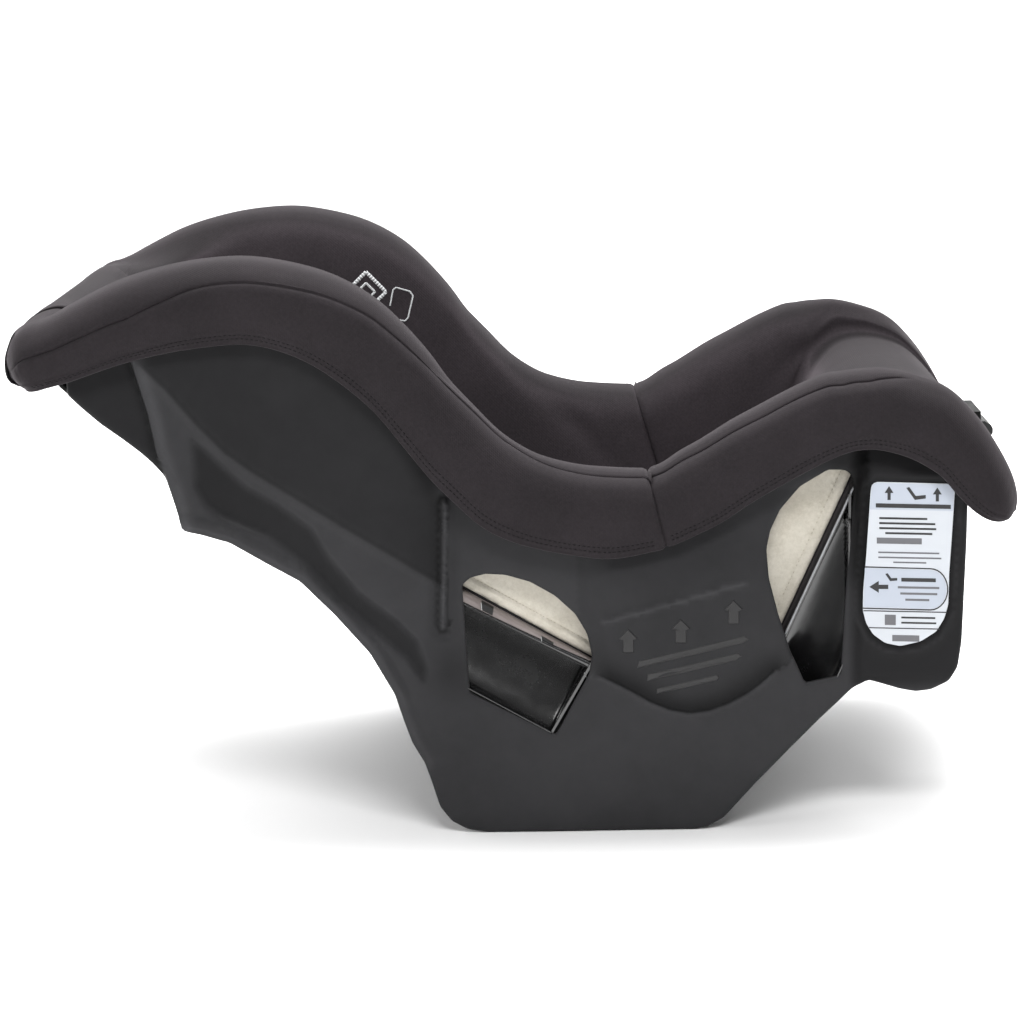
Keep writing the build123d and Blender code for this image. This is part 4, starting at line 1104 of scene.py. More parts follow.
def painted_shading(x, z):
    """Painted shade and highlight on the moulded skin: its creases, hollow, edges, bead and shield drawn darker or
    lighter in the colour, standing in for their shadows and reflections.
    """
    F = fields(x, z)
    t = np.full(x.shape, 1.02)
    main = sm((-48 - x) / 16.0)
    d, s = F["cr"]
    t = np.where(s > 0, t - 0.34 * main * sm(d / 1.6), t + 0.02 * main * sm(d / 1.6))
    t = t - 0.30 * np.exp(-(d / 1.4) ** 2) * main
    t = t - 0.40 * np.where(F["hi"], sm(F["hd"] / 7.0), 0.0) * main
    dr = F["rl"][0]
    t = t + 0.22 * np.exp(-((dr - 4.0) / 3.0) ** 2) * main
    d, s = F["re"]
    w = sm((s * d + 0.9) / 1.8)
    behind = x < -215
    rear = 0.66 - 0.30 * np.exp(-(d / 4.0) ** 2)
    front = t + 0.40 * np.exp(-((d - 5) / 4.5) ** 2) * (x < -210)
    t = np.where(behind, rear + (front - rear) * w, front)
    d, s = F["sh"]
    ins = (s > 0) & (z < 262) & (x > 46) & (x < 220)
    t = np.where(ins, t - sm(d / 1.5) * (0.46 * np.exp(-(d / 15.0) ** 2) * sm((x - 52) / 20.0) * sm((212 - x) / 20.0) + 0.10), t)
    t = np.where(~ins & (x > 40) & (x < 222) & (z < 262), t + 0.16 * np.exp(-((d - 1.2) / 1.6) ** 2), t)
    d, s = dist_line(x, z, LEDGE)
    t = t + 0.30 * np.exp(-(d / 1.5) ** 2) * sm((x - LEDGE[0][0] + 4) / 8.0) * sm((LEDGE[1][0] + 4 - x) / 8.0)
    d, s = F["bd"]
    t = t - 0.50 * np.exp(-((d - 4.6) / 1.8) ** 2) * (x < BEAD[1][0] + 2) * sm((z - 128) / 20)
    t = t + 0.30 * np.exp(-(d / 1.4) ** 2)
    # darker patch below the bead
    t = t - 0.22 * np.exp(-(((x + 50) / 18.0) ** 2 + ((z - 128) / 26.0) ** 2))
    # darker over the pod panel and beside the front window
    t = t - 0.44 * sm((x - 246) / 8.0) * sm((z - 104) / 14.0)
    t = t - 0.30 * sm((x - 214) / 30.0) * sm((z - 170) / 40.0) * (x <= 262)
    lf = LABEL_XZ
    dl, _ = dist_line(x, z, np.vstack([lf, lf[:1]]))
    t = t + 0.20 * np.exp(-((dl - 5.0) / 1.6) ** 2) * (x > 250) * (~inside(x, z, lf)) - 0.2 * np.exp(-(dl / 2.2) ** 2) * (x > 250)
    return np.clip(t, 0.25, 1.6) ** 1.55


LABEL_PX = [(870.5, 490), (871.5, 484), (876, 481.5), (948, 483.3), (953, 485), (954.6, 490), (952, 530), (949, 572), (948, 604),
            (944, 618), (936, 631), (920, 641), (900, 645.5), (885, 642.5), (873, 634), (866, 623), (862.6, 610), (863, 590), (866, 556)]


def dense_round(poly, step=2.5, it=2):
    p = np.array(poly, float)
    L = np.sum(np.linalg.norm(np.diff(np.vstack([p, p[:1]]), axis=0), axis=1))
    # keeps every corner, adds points between
    out = []
    for a, b in zip(p, np.roll(p, -1, axis=0)):
        n = max(1, int(np.linalg.norm(b - a) / step))
        for k in range(n):
            out.append(a + (b - a) * k / n)
    return chaikin(out, it=it)


LABEL_XZ = dense_round([px_to_xz(a, b, -200.0) for a, b in LABEL_PX], 3.0, 2)


def side_wall(q, name, node):
    rear = from_px([(66, 378), (66.5, 395), (80, 407.5), (100, 424.5), (120, 438.5), (140, 453.5), (152, 464), (164.5, 477.5), (167.5, 486),
                    (175, 507.5), (180, 524), (182.6, 529.2), (187.5, 531.6), (200, 534), (230, 542.5), (270, 565), (300, 581), (335, 614.5),
                    (370, 652.5), (395, 694), (405, 723), (412.5, 742.5), (425, 763.5), (432.5, 785), (440, 808)], y=-197.0)
    wall = rear + [p for p in WALL if p[0] > -63 or (p[1] < 20)]
    rim = [tuple(p) for p in RIM[::-1]]
    rim = [p for p in rim if not (p[0] > 350 and p[1] < 262)]
    out = dense_round(wall + [(341, 252)] + rim + [(-352, 370), (-338, 368)], 3.5, 3)
    if area2(out) < 0:
        out = out[::-1]
    w1 = dense_round(WINDOW_BACK, 3.5, 3)
    w2 = dense_round(WINDOW_SEAT, 3.5, 3)
    loops = []
    for k, p in enumerate((out, w1, w2)):
        p = resample(np.vstack([p, p[:1]]), int(max(60, np.sum(np.linalg.norm(np.diff(np.vstack([p, p[:1]]), axis=0), axis=1)) / 3.0)))[:-1]
        if k == 0 and area2(p) < 0:
            p = p[::-1]
        if k > 0 and area2(p) > 0:
            p = p[::-1]
        loops.append(p)
    offs = [0.0, 0.5, 1.3, 2.6, 5.0]
    rad = [2.6, 1.6, 0.7, 0.2, 0.0]          # how far back the rounded edge falls
    pts, back = [], []
    first = []
    for lp in loops:
        rings = [offset_closed(lp, d) for d in offs]
        first.append((len(pts), len(lp)))
        for rg, b in zip(rings, rad):
            for p in rg:
                pts.append(p)
                back.append(b if lp is loops[0] else b * 0.6)
    nb = len(pts)
    # guide lines of the relief
    o66 = offset_closed(loops[0], 6.6)
    holes66 = [offset_closed(lp, 6.6) for lp in loops[1:]]
    lines = [REAR_EDGE, offset_open(REAR_EDGE, 0.9), offset_open(REAR_EDGE, -0.9), CREASE_LONG, offset_open(CREASE_LONG, 1.6), offset_open(CREASE_LONG, -1.6),
             SHIELD, offset_open(SHIELD, 1.5), offset_open(SHIELD, -1.5), BEAD, offset_open(BEAD, 3.0), offset_open(BEAD, -3.0), offset_open(BEAD, 4.6),
             np.vstack([HOLLOW, HOLLOW[:1]]), offset_open(np.vstack([HOLLOW, HOLLOW[:1]]), 2.5), offset_open(np.vstack([HOLLOW, HOLLOW[:1]]), -2.5), LEDGE]
    gpts, gedges = [], []
    for L in lines:
        L = np.array(L, float)
        ln = np.sum(np.linalg.norm(np.diff(L, axis=0), axis=1))
        L = resample(L, int(max(8, ln / 2.8)))
        okk = inside(L[:, 0], L[:, 1], o66)
        for hh in holes66:
            okk &= ~inside(L[:, 0], L[:, 1], hh)
        base = len(gpts)
        for p in L:
            gpts.append(p)
        for i in range(len(L) - 1):
            if okk[i] and okk[i + 1]:
                gedges.append((base + i, base + i + 1))
    used = sorted({i for e in gedges for i in e})
    remap = {u: k_ for k_, u in enumerate(used)}
    gpts = np.array([gpts[u] for u in used])
    gedges = [(remap[a], remap[b]) for a, b in gedges]
    # inner grid
    gx, gz = np.meshgrid(np.arange(-360, 360, 3.2), np.arange(2, 440, 3.2))
    gx = gx + ((np.arange(gx.shape[0]) % 2) * 1.6)[:, None]
    gx, gz = gx.ravel(), gz.ravel()
    ok = inside(gx, gz, offset_closed(loops[0], 6.6))
    for lp in loops[1:]:
        ok &= ~inside(gx, gz, offset_closed(lp, 6.6))
    gx, gz = gx[ok], gz[ok]
    near = np.min((gx[:, None] - gpts[None, :, 0]) ** 2 + (gz[:, None] - gpts[None, :, 1]) ** 2, axis=1) < 1.2 ** 2
    gx, gz = gx[~near], gz[~near]
    allp = [Vector((float(p[0]), float(p[1]))) for p in pts]
    go = len(allp)
    allp += [Vector((float(p[0]), float(p[1]))) for p in gpts] + [Vector((float(a), float(b))) for a, b in zip(gx, gz)]
    edges = [(a + go, b + go) for a, b in gedges]
    for (st, n) in first:
        for r in range(len(offs)):
            for i in range(n):
                edges.append((st + r * n + i, st + r * n + (i + 1) % n))
    vo, eo, fo, orig, _, _ = delaunay_2d_cdt(allp, edges, [], 0, 1e-4)
    vx = np.array([v[0] for v in vo])
    vz = np.array([v[1] for v in vo])
    bk = np.zeros(len(vo))
    for i, og in enumerate(orig):
        if og and min(og) < nb:
            bk[i] = back[min(og)]
    F = np.array([f for f in fo if len(f) == 3])
    cx = vx[F].mean(axis=1)
    cz = vz[F].mean(axis=1)
    keep = inside(cx, cz, loops[0])
    for lp in loops[1:]:
        keep &= ~inside(cx, cz, lp)
    F = F[keep]
    yo = 195.2 + relief(vx, vz) - bk
    yi = 195.2 + relief(vx, vz) - 3.4 - 0.0
    yi = np.minimum(yi, yo - 0.05)
    yi = np.where(bk > 1.9, yo - 0.4, yi)
    n = len(vo)
    verts = [P(a, q * y, b) for a, y, b in zip(vx, yo, vz)] + [P(a, q * y, b) for a, y, b in zip(vx, yi, vz)]
    faces = [tuple(int(v) for v in f) for f in F] + [tuple(int(v) + n for v in f[::-1]) for f in F]
    # close the borders
    cnt = {}
    for f in F:
        for a, b in ((f[0], f[1]), (f[1], f[2]), (f[2], f[0])):
            key = (min(a, b), max(a, b))
            cnt.setdefault(key, []).append((int(a), int(b)))
    for key, v in cnt.items():
        if len(v) == 1:
            a, b = v[0]
            faces.append((b, a, a + n, b + n))
    o = new_obj(name, verts, faces, M_WALL)
    bm = bmesh.new()
    bm.from_mesh(o.data)
    loose = [v for v in bm.verts if not v.link_faces]
    bmesh.ops.delete(bm, geom=loose, context="VERTS")
    bmesh.ops.recalc_face_normals(bm, faces=bm.faces)
    bm.to_mesh(o.data)
    bm.free()
    co_ = np.empty(len(o.data.vertices) * 3)
    o.data.vertices.foreach_get("co", co_)
    co_ = co_.reshape(-1, 3)
    # painted shade and highlight of the wall, kept per vertex to scale its colour
    at = o.data.attributes.new("painted_shading", "FLOAT", "POINT")
    at.data.foreach_set("value", painted_shading(co_[:, 0] * 1000 + CX, co_[:, 2] * 1000).astype(np.float32))
    # flange under the padding
    rl = resample(np.array([p for p in RIM]), 160)
    r2 = np.array(offset_open([tuple(p) for p in rl], -3.2))
    vv, ff = [], []
    for a, b in zip(rl, r2):
        for (xz, y) in ((a, 194.6), (a, 206.0), (a * 0.8 + b * 0.2, 206.9), (b, 207.0), (b, 194.6)):
            vv.append(P(xz[0], q * y, xz[1]))
    for i in range(len(rl) - 1):
        for k in range(5):
            k2 = (k + 1) % 5
            ff.append((i * 5 + k, i * 5 + k2, (i + 1) * 5 + k2, (i + 1) * 5 + k))
    ff.append((0, 1, 2, 3, 4))
    e = (len(rl) - 1) * 5
    ff.append((e + 4, e + 3, e + 2, e + 1, e))
    fl = new_obj(name + "_flange", vv, ff, M_SHELL)
    fix_normals(fl)
    place(fl, "seat", "shell_plastic")
    return place(o, "seat", "shell_plastic", node)


wall_r = side_wall(-1, "shell_side_right_skin", "shell_side_right")
wall_l = side_wall(1, "shell_side_left_skin", "shell_side_left")


# ------------------------------------------------------ moulded marks on wall
def surf_y(x, z):
    return 195.2 + float(relief(np.array([x]), np.array([z]))[0])


def raised_shape(name, poly, h, q, mat=None, inset=0.8, slot="shell_plastic", lift=-0.3, curve=None, body="seat"):
    """Low moulded relief: a flat polygon that follows the wall, with bevelled sides."""
    p = np.array(poly, float)
    if area2(p) < 0:
        p = p[::-1]
    p = resample(np.vstack([p, p[:1]]), max(24, len(p) * 6))[:-1]
    ins = offset_closed(p, inset)
    n = len(p)
    yf = curve if curve is not None else surf_y
    v = []
    for a in p:
        v.append(P(a[0], q * (yf(a[0], a[1]) + lift), a[1]))
    for a in ins:
        v.append(P(a[0], q * (yf(a[0], a[1]) + h), a[1]))
    c = ins.mean(axis=0)
    v.append(P(c[0], q * (yf(c[0], c[1]) + h), c[1]))
    f = []
    for i in range(n):
        j = (i + 1) % n
        f.append((i, j, n + j, n + i))
        f.append((n + i, n + j, 2 * n))
    o = new_obj(name, v, f, mat or M_SHELL, smooth=False)
    fix_normals(o)
    return place(o, body, slot)


def arrow_up(cx, cz, w, h, ang):
    """House shaped arrow, turned by ang degrees."""
    pts = [(-0.5, 0.12), (0.0, 0.62), (0.5, 0.12), (0.27, 0.12), (0.27, -0.5), (-0.27, -0.5), (-0.27, 0.12)]
    c, s = math.cos(math.radians(ang)), math.sin(math.radians(ang))
    return [(cx + w * a * c - h * b * s, cz + w * a * s + h * b * c) for a, b in pts]


def join_objs(name, objs):
    for o in bpy.context.selected_objects:
        o.select_set(False)
    vs, fs = [], []
    mat = objs[0].data.materials[0]
    for o in objs:
        base = len(vs)
        vs += [v.co.copy() for v in o.data.vertices]
        fs += [tuple(i + base for i in p.vertices) for p in o.data.polygons]
    o2 = new_obj(name, vs, fs, mat, smooth=False)
    return o2


for q, tag in ((-1, "right"), (1, "left")):
    for k, (px, py) in enumerate(((628, 640), (680.5, 630), (733, 611))):
        x, z = px_to_xz(px, py, -199.0)
        raised_shape("wall_arrow_%d_%s" % (k, tag), arrow_up(x, z, 16, 17, 0), 0.75, q)
    for k, (a, b, c) in enumerate(((0, 118, 6.0), (1, 100, 6.0), (2, 66, 5.0))):
        x0, z0 = px_to_xz(636 + 10 * k, 667 + 13 * k, -199.0)
        sl = math.tan(math.radians(13.0))
        bw = b * 0.72
        pts = [(x0, z0), (x0 + bw, z0 + bw * sl), (x0 + bw, z0 + bw * sl + c), (x0, z0 + c)]
        raised_shape("wall_bar_%d_%s" % (k, tag), pts, 0.45, q)

# ------------------------------------------------------------- belt guides
def tube(name, pts, r, mat, slot, body="seat", sides=8):
    L = np.asarray(pts, float)
    v, f = [], []
    n = len(L)
    for i, p in enumerate(L):
        t = L[min(i + 1, n - 1)] - L[max(i - 1, 0)]
        t /= np.linalg.norm(t) + 1e-9
        a = np.cross(t, [0.2, 0.93, 0.3])
        a /= np.linalg.norm(a)
        b = np.cross(t, a)
        rr = r if 0 < i < n - 1 else r * 0.45
        for k in range(sides):
            th = 2 * math.pi * k / sides
            v.append(P(*(p + rr * (a * math.cos(th) + b * math.sin(th)))))
    for i in range(n - 1):
        for k in range(sides):
            k2 = (k + 1) % sides
            f.append((i * sides + k, i * sides + k2, (i + 1) * sides + k2, (i + 1) * sides + k))
    f.append(tuple(range(sides))[::-1])
    f.append(tuple((n - 1) * sides + k for k in range(sides)))
    o = new_obj(name, v, f, mat)
    fix_normals(o)
    return place(o, body, slot)


def px_line(a, b, y, q, n=24, ext=0.12):
    """Line between two image points laid on the plane |y|, as 3-D points for side q."""
    p0 = np.array(px_to_xz(a[0], a[1], -y))
    p1 = np.array(px_to_xz(b[0], b[1], -y))
    d = p1 - p0
    p0, p1 = p0 - d * ext, p1 + d * ext
    t = np.linspace(0, 1, n)[:, None]
    l2 = p0 + (p1 - p0) * t
    return np.column_stack([l2[:, 0], np.full(n, q * y), l2[:, 1]])


def ruled(name, rails, mat, slot, thick=0.0008, body="seat"):
    n = len(rails[0])
    v, f = [], []
    for r in rails:
        for p in r:
            v.append(P(*p))
    for i in range(len(rails) - 1):
        for j in range(n - 1):
            f.append((i * n + j, i * n + j + 1, (i + 1) * n + j + 1, (i + 1) * n + j))
    o = new_obj(name, v, f, mat)
    fix_normals(o)
    so = o.modifiers.new("thick", "SOLIDIFY")
    so.thickness = thick
    so.offset = 0.0
    return place(o, body, slot)


def guide(name, P2, lo, hi, prof, q, node, cut=None):
    """Smooth hollow scoop from the edge of the padding to the window's lower edge."""
    prof = catmull(prof, 48)
    n = len(prof)
    us = np.concatenate([[lo - 0.0], np.linspace(lo + 0.8, hi - 0.8, 44), [hi]])
    v, f = [], []
    for k, u in enumerate(us):
        for (y, m) in prof:
            x, z = P2(u, m)
            if cut is not None and x > cut:
                x = cut
            v.append(P(x, q * y, z))
    for i in range(len(us) - 1):
        for j in range(n - 1):
            f.append((i * n + j, (i + 1) * n + j, (i + 1) * n + j + 1, i * n + j + 1))
    # end walls
    for k, u in ((0, lo), (len(us) - 1, hi)):
        base = len(v)
        for (y, m) in prof:
            x, z = P2(u, m)
            if cut is not None and x > cut:
                x = cut
            v.append(P(x, q * max(y, 194.0), z))
        for j in range(n - 1):
            f.append((k * n + j, k * n + j + 1, base + j + 1, base + j))
    o = new_obj(name, v, f, M_GUIDE)
    o.data.polygons.foreach_set("use_smooth", [i < (len(us) - 1) * (n - 1) for i in range(len(f))])
    fix_normals(o)
    so = o.modifiers.new("thick", "SOLIDIFY")
    so.thickness = 0.0018
    so.offset = 0.0
    return place(o, "seat", "guide_plastic", node)


PROF_BACK = [(179.6, 14.0), (171, 12.6), (168.4, 8), (169.6, -3), (172.8, -14), (177.2, -25), (182.4, -35.6), (186.2, -41.4),
             (190.0, -45.6), (193.2, -48.0), (194.9, -49.0)]
PROF_SEAT = [(179.6, 0.5), (171, -0.6), (169.2, -4), (170.5, -12), (174, -21), (178.5, -29.5), (184, -37), (188.5, -41.5),
             (192.4, -44.4), (194.9, -45.6)]
for q, tag in ((-1, "right"), (1, "left")):
    guide("guide_back_%s_scoop" % tag, B, 131.0, 242.5, PROF_BACK, q, "belt_guide_back_" + tag)
    guide("guide_seat_%s_scoop" % tag, S, 56, 222, PROF_SEAT, q, "belt_guide_seat_" + tag, cut=248.4)

# bucket sheet, cut back where the belt windows open into the shell
def bucket_copy():
    src = NODES["shell_bucket"]
    bm = bmesh.new()
    bm.from_mesh(src.data)
    bm.transform(src.matrix_world)
    cuts = [((0, 0.165, 0), (0, 1, 0)), ((0, -0.165, 0), (0, 1, 0))]
    for u in (116, 256):
        p = P(B(u, 0)[0], 0, B(u, 0)[1])
        cuts.append((tuple(p), (UX, 0, UZ)))
    for u in (50, 228):
        p = P(S(u, 0)[0], 0, S(u, 0)[1])
        cuts.append((tuple(p), (SX, 0, SZ)))
    for co_, no in cuts:
        bmesh.ops.bisect_plane(bm, geom=bm.verts[:] + bm.edges[:] + bm.faces[:], plane_co=co_, plane_no=no, dist=1e-6)
    dead = []
    for f in bm.faces:
        c = f.calc_center_median()
        x, y, z = c.x * 1000 + CX, c.y * 1000, c.z * 1000
        if abs(y) < 165.01:
            continue
        u = (x - BX) * UX + (z - BZ) * UZ
        n = (x - BX) * NX + (z - BZ) * NZ
        a = (x - BX) * SX + (z - BZ) * SZ
        m = (x - BX) * MX + (z - BZ) * MZ
        if (116 < u < 256 and -8 < n < 6) or (50 < a < 228 and -8 < m < 6):
            dead.append(f)
    bmesh.ops.delete(bm, geom=dead, context="FACES")
    be = [e for e in bm.edges if e.is_boundary]
    bmesh.ops.holes_fill(bm, edges=be, sides=0)
    bmesh.ops.remove_doubles(bm, verts=bm.verts, dist=1e-6)
    for v in bm.verts:
        w = min(1.0, max(0.0, (-288.0 - (v.co.x * 1000 + CX)) / 22.0))
        v.co.x += 0.0034 * w
        v.co.z += 0.0046 * w
    me = bpy.data.meshes.new("bucket_sheet")
    bm.to_mesh(me)
    bm.free()
    me.materials.clear()
    # the bucket gets the darker copy of the shell plastic, painted shade
    me.materials.append(M_SHELL_SHADED)
    for p in me.polygons:
        p.material_index = 0
        p.use_smooth = False
    o = bpy.data.objects.new("bucket_sheet", me)
    bpy.context.scene.collection.objects.link(o)
    b = o.modifiers.new("edge", "BEVEL")
    b.width = 0.0006
    b.segments = 2
    b.limit_method = "ANGLE"
    b.angle_limit = math.radians(50)
    return place(o, "seat", "shell_plastic", "shell_bucket")


bucket_copy()

# edges seen in the windows, as image points on the near side
EB0, EB1 = (460, 585.8), (592.5, 658.3)          # felt edge, rear window
EF0, EF1 = (851, 478), (781, 628)                # felt edge, front window
for q, tag in ((-1, "right"), (1, "left")):
    n = 60
    top = px_line(EB0, EB1, 179.8, q, n)
    low = px_line((460, 599.5), (592, 661.0), 190.6, q, n)
    t = np.linspace(0, 1, n)
    low[:, 2] += 1.6 * np.sin(np.pi * np.clip(t, 0, 1)) * -1
    mid = 0.5 * (top + low)
    mid[:, 1] += q * 1.2
    shelf = px_line((462, 604.0), (592, 670), 191.2, q, n)
    # pale strip: painted light on the shell ledge under the felt
    ruled("panel_strip_%s" % tag, [top, mid, low], M_STRIP_PAINTED_LIGHT, "shell_plastic")
    inner = shelf.copy()
    inner[:, 1] = q * 180.0
    inner[:, 2] -= 1.0
    ruled("panel_shelf_%s" % tag, [low, shelf, inner], M_GUIDE, "guide_plastic")
    tube("panel_lip_%s" % tag, shelf[6:-6:2] + np.array([0, q * 0.2, 0]), 0.55, M_TRIM, "trim_plastic")
    # two slots with small frames; each opening is filled by a black box, painted shade inside the hole
    for k, ((a, b), (c, d)) in enumerate((((481.5, 602.5), (493.5, 614.5)), ((541.5, 636.5), (553.5, 647)))):
        box_px = [(a, b), (c, b + 6.4), (c - 1.0, d + 0.8), (a + 0.6, d - 4.6)]
        vv = []
        for yy in (183.0, 191.0):
            for (u_, w_) in box_px:
                x, z = px_to_xz(u_, w_, -190.0)
                vv.append(P(x, q * yy, z))
        ff = [(0, 1, 2, 3), (4, 5, 6, 7), (0, 1, 5, 4), (1, 2, 6, 5), (2, 3, 7, 6), (3, 0, 4, 7)]
        o = new_obj("panel_slot_%d_%s" % (k, tag), vv, ff, M_SLOT_SHADE, smooth=False)
        fix_normals(o)
        place(o, "seat", "trim_plastic")
        fr = []
        for (u_, w_) in ((a - 0.4, b + 0.2), (a + 0.4, d - 4.2), ):
            x, z = px_to_xz(u_, w_, -191.0)
            fr.append((x, q * 191.0, z))
        tube("panel_slot_frame_%d_%s" % (k, tag), fr, 0.5, M_PATCH, "trim_plastic")
    # small pale tubes at the ends of the scoop: painted glints on the window edges
    for k, (a, b) in enumerate(((460.8, 604.5), (585.4, 674.6))):
        x, z = px_to_xz(a, b, -192.0)
        tube("scoop_end_glint_%d_%s" % (k, tag), [(x - 0.6, q * 192.2, z + 1.6), (x, q * 192.6, z), (x + 0.3, q * 192.2, z - 1.6)], 0.9, M_LINE, "guide_plastic")
    # front window: bound edge and bright line
    top = px_line(EF0, EF1, 179.8, q, n)
    low = px_line((855.2, 483), (784.6, 633.5), 190.6, q, n)
    shelf = px_line((857.0, 484), (786.6, 635.5), 191.2, q, n)
    ruled("seat_edge_%s" % tag, [top, 0.5 * (top + low) + np.array([0, q * 1.0, 0]), low], M_BIND, "lining_felt")
    inner = shelf.copy()
    inner[:, 1] = q * 180.0
    ruled("seat_shelf_%s" % tag, [low, shelf, inner], M_GUIDE, "guide_plastic")
    ln = px_line((854.6, 485), (784.4, 635.5), 191.4, q, 30, 0.0)
    tube("seat_edge_line_%s" % tag, ln, 0.75, M_LINE, "guide_plastic")


# ---------------------------------------------------------------- felt lining
def felt_side(name, poly, edge, q, body="seat", reps=(), groove=10.0):
    """Felt sheet behind the windows: rounded bulge, stitched border and bound edge."""
    poly = np.array(poly, float)
    if area2(poly) < 0:
        poly = poly[::-1]
    lp = resample(np.vstack([poly, poly[:1]]), 260)[:-1]
    gx, gz = np.meshgrid(np.arange(lp[:, 0].min(), lp[:, 0].max(), 1.9), np.arange(lp[:, 1].min(), lp[:, 1].max(), 1.9))
    gx, gz = gx.ravel(), gz.ravel()
    ok = inside(gx, gz, offset_closed(lp, 1.8))
    gx, gz = gx[ok], gz[ok]
    pts = [Vector((float(a), float(b))) for a, b in lp] + [Vector((float(a), float(b))) for a, b in zip(gx, gz)]
    n = len(lp)
    vo, eo, fo, orig, _, _ = delaunay_2d_cdt(pts, [(i, (i + 1) % n) for i in range(n)], [], 0, 1e-4)
    vx = np.array([v[0] for v in vo])
    vz = np.array([v[1] for v in vo])
    F = np.array([f for f in fo if len(f) == 3])
    keep = inside(vx[F].mean(axis=1), vz[F].mean(axis=1), lp)
    F = F[keep]
    d, s = dist_line(vx, vz, edge)
    y = 179.9 + 1.8 * sm((d - groove) / 30.0) + 0.45 * np.sin(vx / 23.0) * np.sin(vz / 19.0) + 0.16 * np.sin(vx / 6.1 + vz / 9.0)
    y -= 1.9 * np.exp(-((d - groove) / 1.1) ** 2)            # stitched groove
    y += 1.5 * np.clip(1 - ((d - groove * 0.5) / (groove * 0.55)) ** 2, 0, 1)             # puffy border
    y -= 1.6 * sm(1 - d / 2.0)
    n0 = len(vo)
    verts = [P(a, q * b, c) for a, b, c in zip(vx, y, vz)] + [P(a, q * 177.8, c) for a, b, c in zip(vx, y, vz)]
    faces = [tuple(int(v) for v in f) for f in F] + [tuple(int(v) + n0 for v in f[::-1]) for f in F]
    cnt = {}
    for f in F:
        for a, b in ((f[0], f[1]), (f[1], f[2]), (f[2], f[0])):
            cnt.setdefault((min(a, b), max(a, b)), []).append((int(a), int(b)))
    for key, v in cnt.items():
        if len(v) == 1:
            a, b = v[0]
            faces.append((b, a, a + n0, b + n0))
    o = new_obj(name, verts, faces, M_FELT)
    bm = bmesh.new()
    bm.from_mesh(o.data)
    bmesh.ops.delete(bm, geom=[v for v in bm.verts if not v.link_faces], context="VERTS")
    bmesh.ops.recalc_face_normals(bm, faces=bm.faces)
    bm.to_mesh(o.data)
    bm.free()
    place(o, body, "lining_felt", *reps)
    e = resample(edge, 90)
    tube(name + "_binding", [(p[0], q * 180.4, p[1]) for p in e], 1.25, M_BIND, "lining_felt", body)
    c = lp.mean(axis=0)
    t = np.gradient(resample(edge, 200), axis=0)
    t /= np.linalg.norm(t, axis=1, keepdims=True)
    nn = np.column_stack([-t[:, 1], t[:, 0]])
    st = resample(edge, 200)
    if np.dot(nn[100], c - st[100]) < 0:
        nn = -nn
    line = st + nn * groove
    dashes(name + "_stitch", [(a, q * 178.9, c_) for a, c_ in line], M_FELT_TH, body, "lining_felt", pitch=3.0, length=2.1, rad=0.3)
    return o


def px_poly(pts, y=-180.0):
    return [px_to_xz(a, b, y) for a, b in pts]


for q, tag in ((-1, "right"), (1, "left")):
    ed = px_poly([(442, 575.95), (612, 668.97)])
    poly = ed + px_poly([(618, 640), (612, 590), (585, 556), (530, 538), (470, 540), (440, 552)])
    felt_side("felt_back_%s" % tag, poly, ed, q, reps=("lining_back",) if q < 0 else ())
    ed = px_poly([(861, 456.6), (770, 651.6)])
    poly = ed + px_poly([(742, 640), (738, 560), (745, 510), (772, 470), (810, 448), (850, 444)])
    felt_side("felt_seat_%s" % tag, poly, ed, q, reps=("lining_seat",) if q < 0 else (), groove=9.0)

# foam packs in the head wings, kept clear of the moulded wall
def foam_pack(q, tag):
    wing = [(-318, 358), (-300, 394), (-262, 410), (-226, 418), (-194, 420), (-160, 413), (-128, 398), (-108, 384), (-94, 366),
            (-104, 322), (-128, 300)]
    lp = dense_round(wing, 5.0, 2)
    lp = resample(np.vstack([lp, lp[:1]]), 140)[:-1]
    if area2(lp) < 0:
        lp = lp[::-1]
    rings = [offset_closed(lp, d) for d in (0.0, 0.6, 2.0, 4.5)]
    ys_out = [186.5, 189.3, 191.0, 191.4]
    ys_in = [184.5, 182.0, 180.6, 180.2]
    v, f = [], []
    n = len(lp)
    order = [(rings[3], ys_in[3]), (rings[2], ys_in[2]), (rings[1], ys_in[1]), (rings[0], ys_in[0]), (rings[0], ys_out[0]),
             (rings[1], ys_out[1]), (rings[2], ys_out[2]), (rings[3], ys_out[3])]
    for rg, y in order:
        for p in rg:
            v.append(P(p[0], q * y, p[1]))
    for k in range(len(order) - 1):
        for i in range(n):
            j = (i + 1) % n
            f.append((k * n + i, k * n + j, (k + 1) * n + j, (k + 1) * n + i))
    f.append(tuple(range(n))[::-1])
    f.append(tuple((len(order) - 1) * n + i for i in range(n)))
    o = new_obj("wing_foam_pack_%s" % tag, v, f, M_FOAM)
    fix_normals(o)
    place(o, "seat", "wing_foam", "wing_foam_" + tag)


foam_pack(-1, "right")
foam_pack(1, "left")

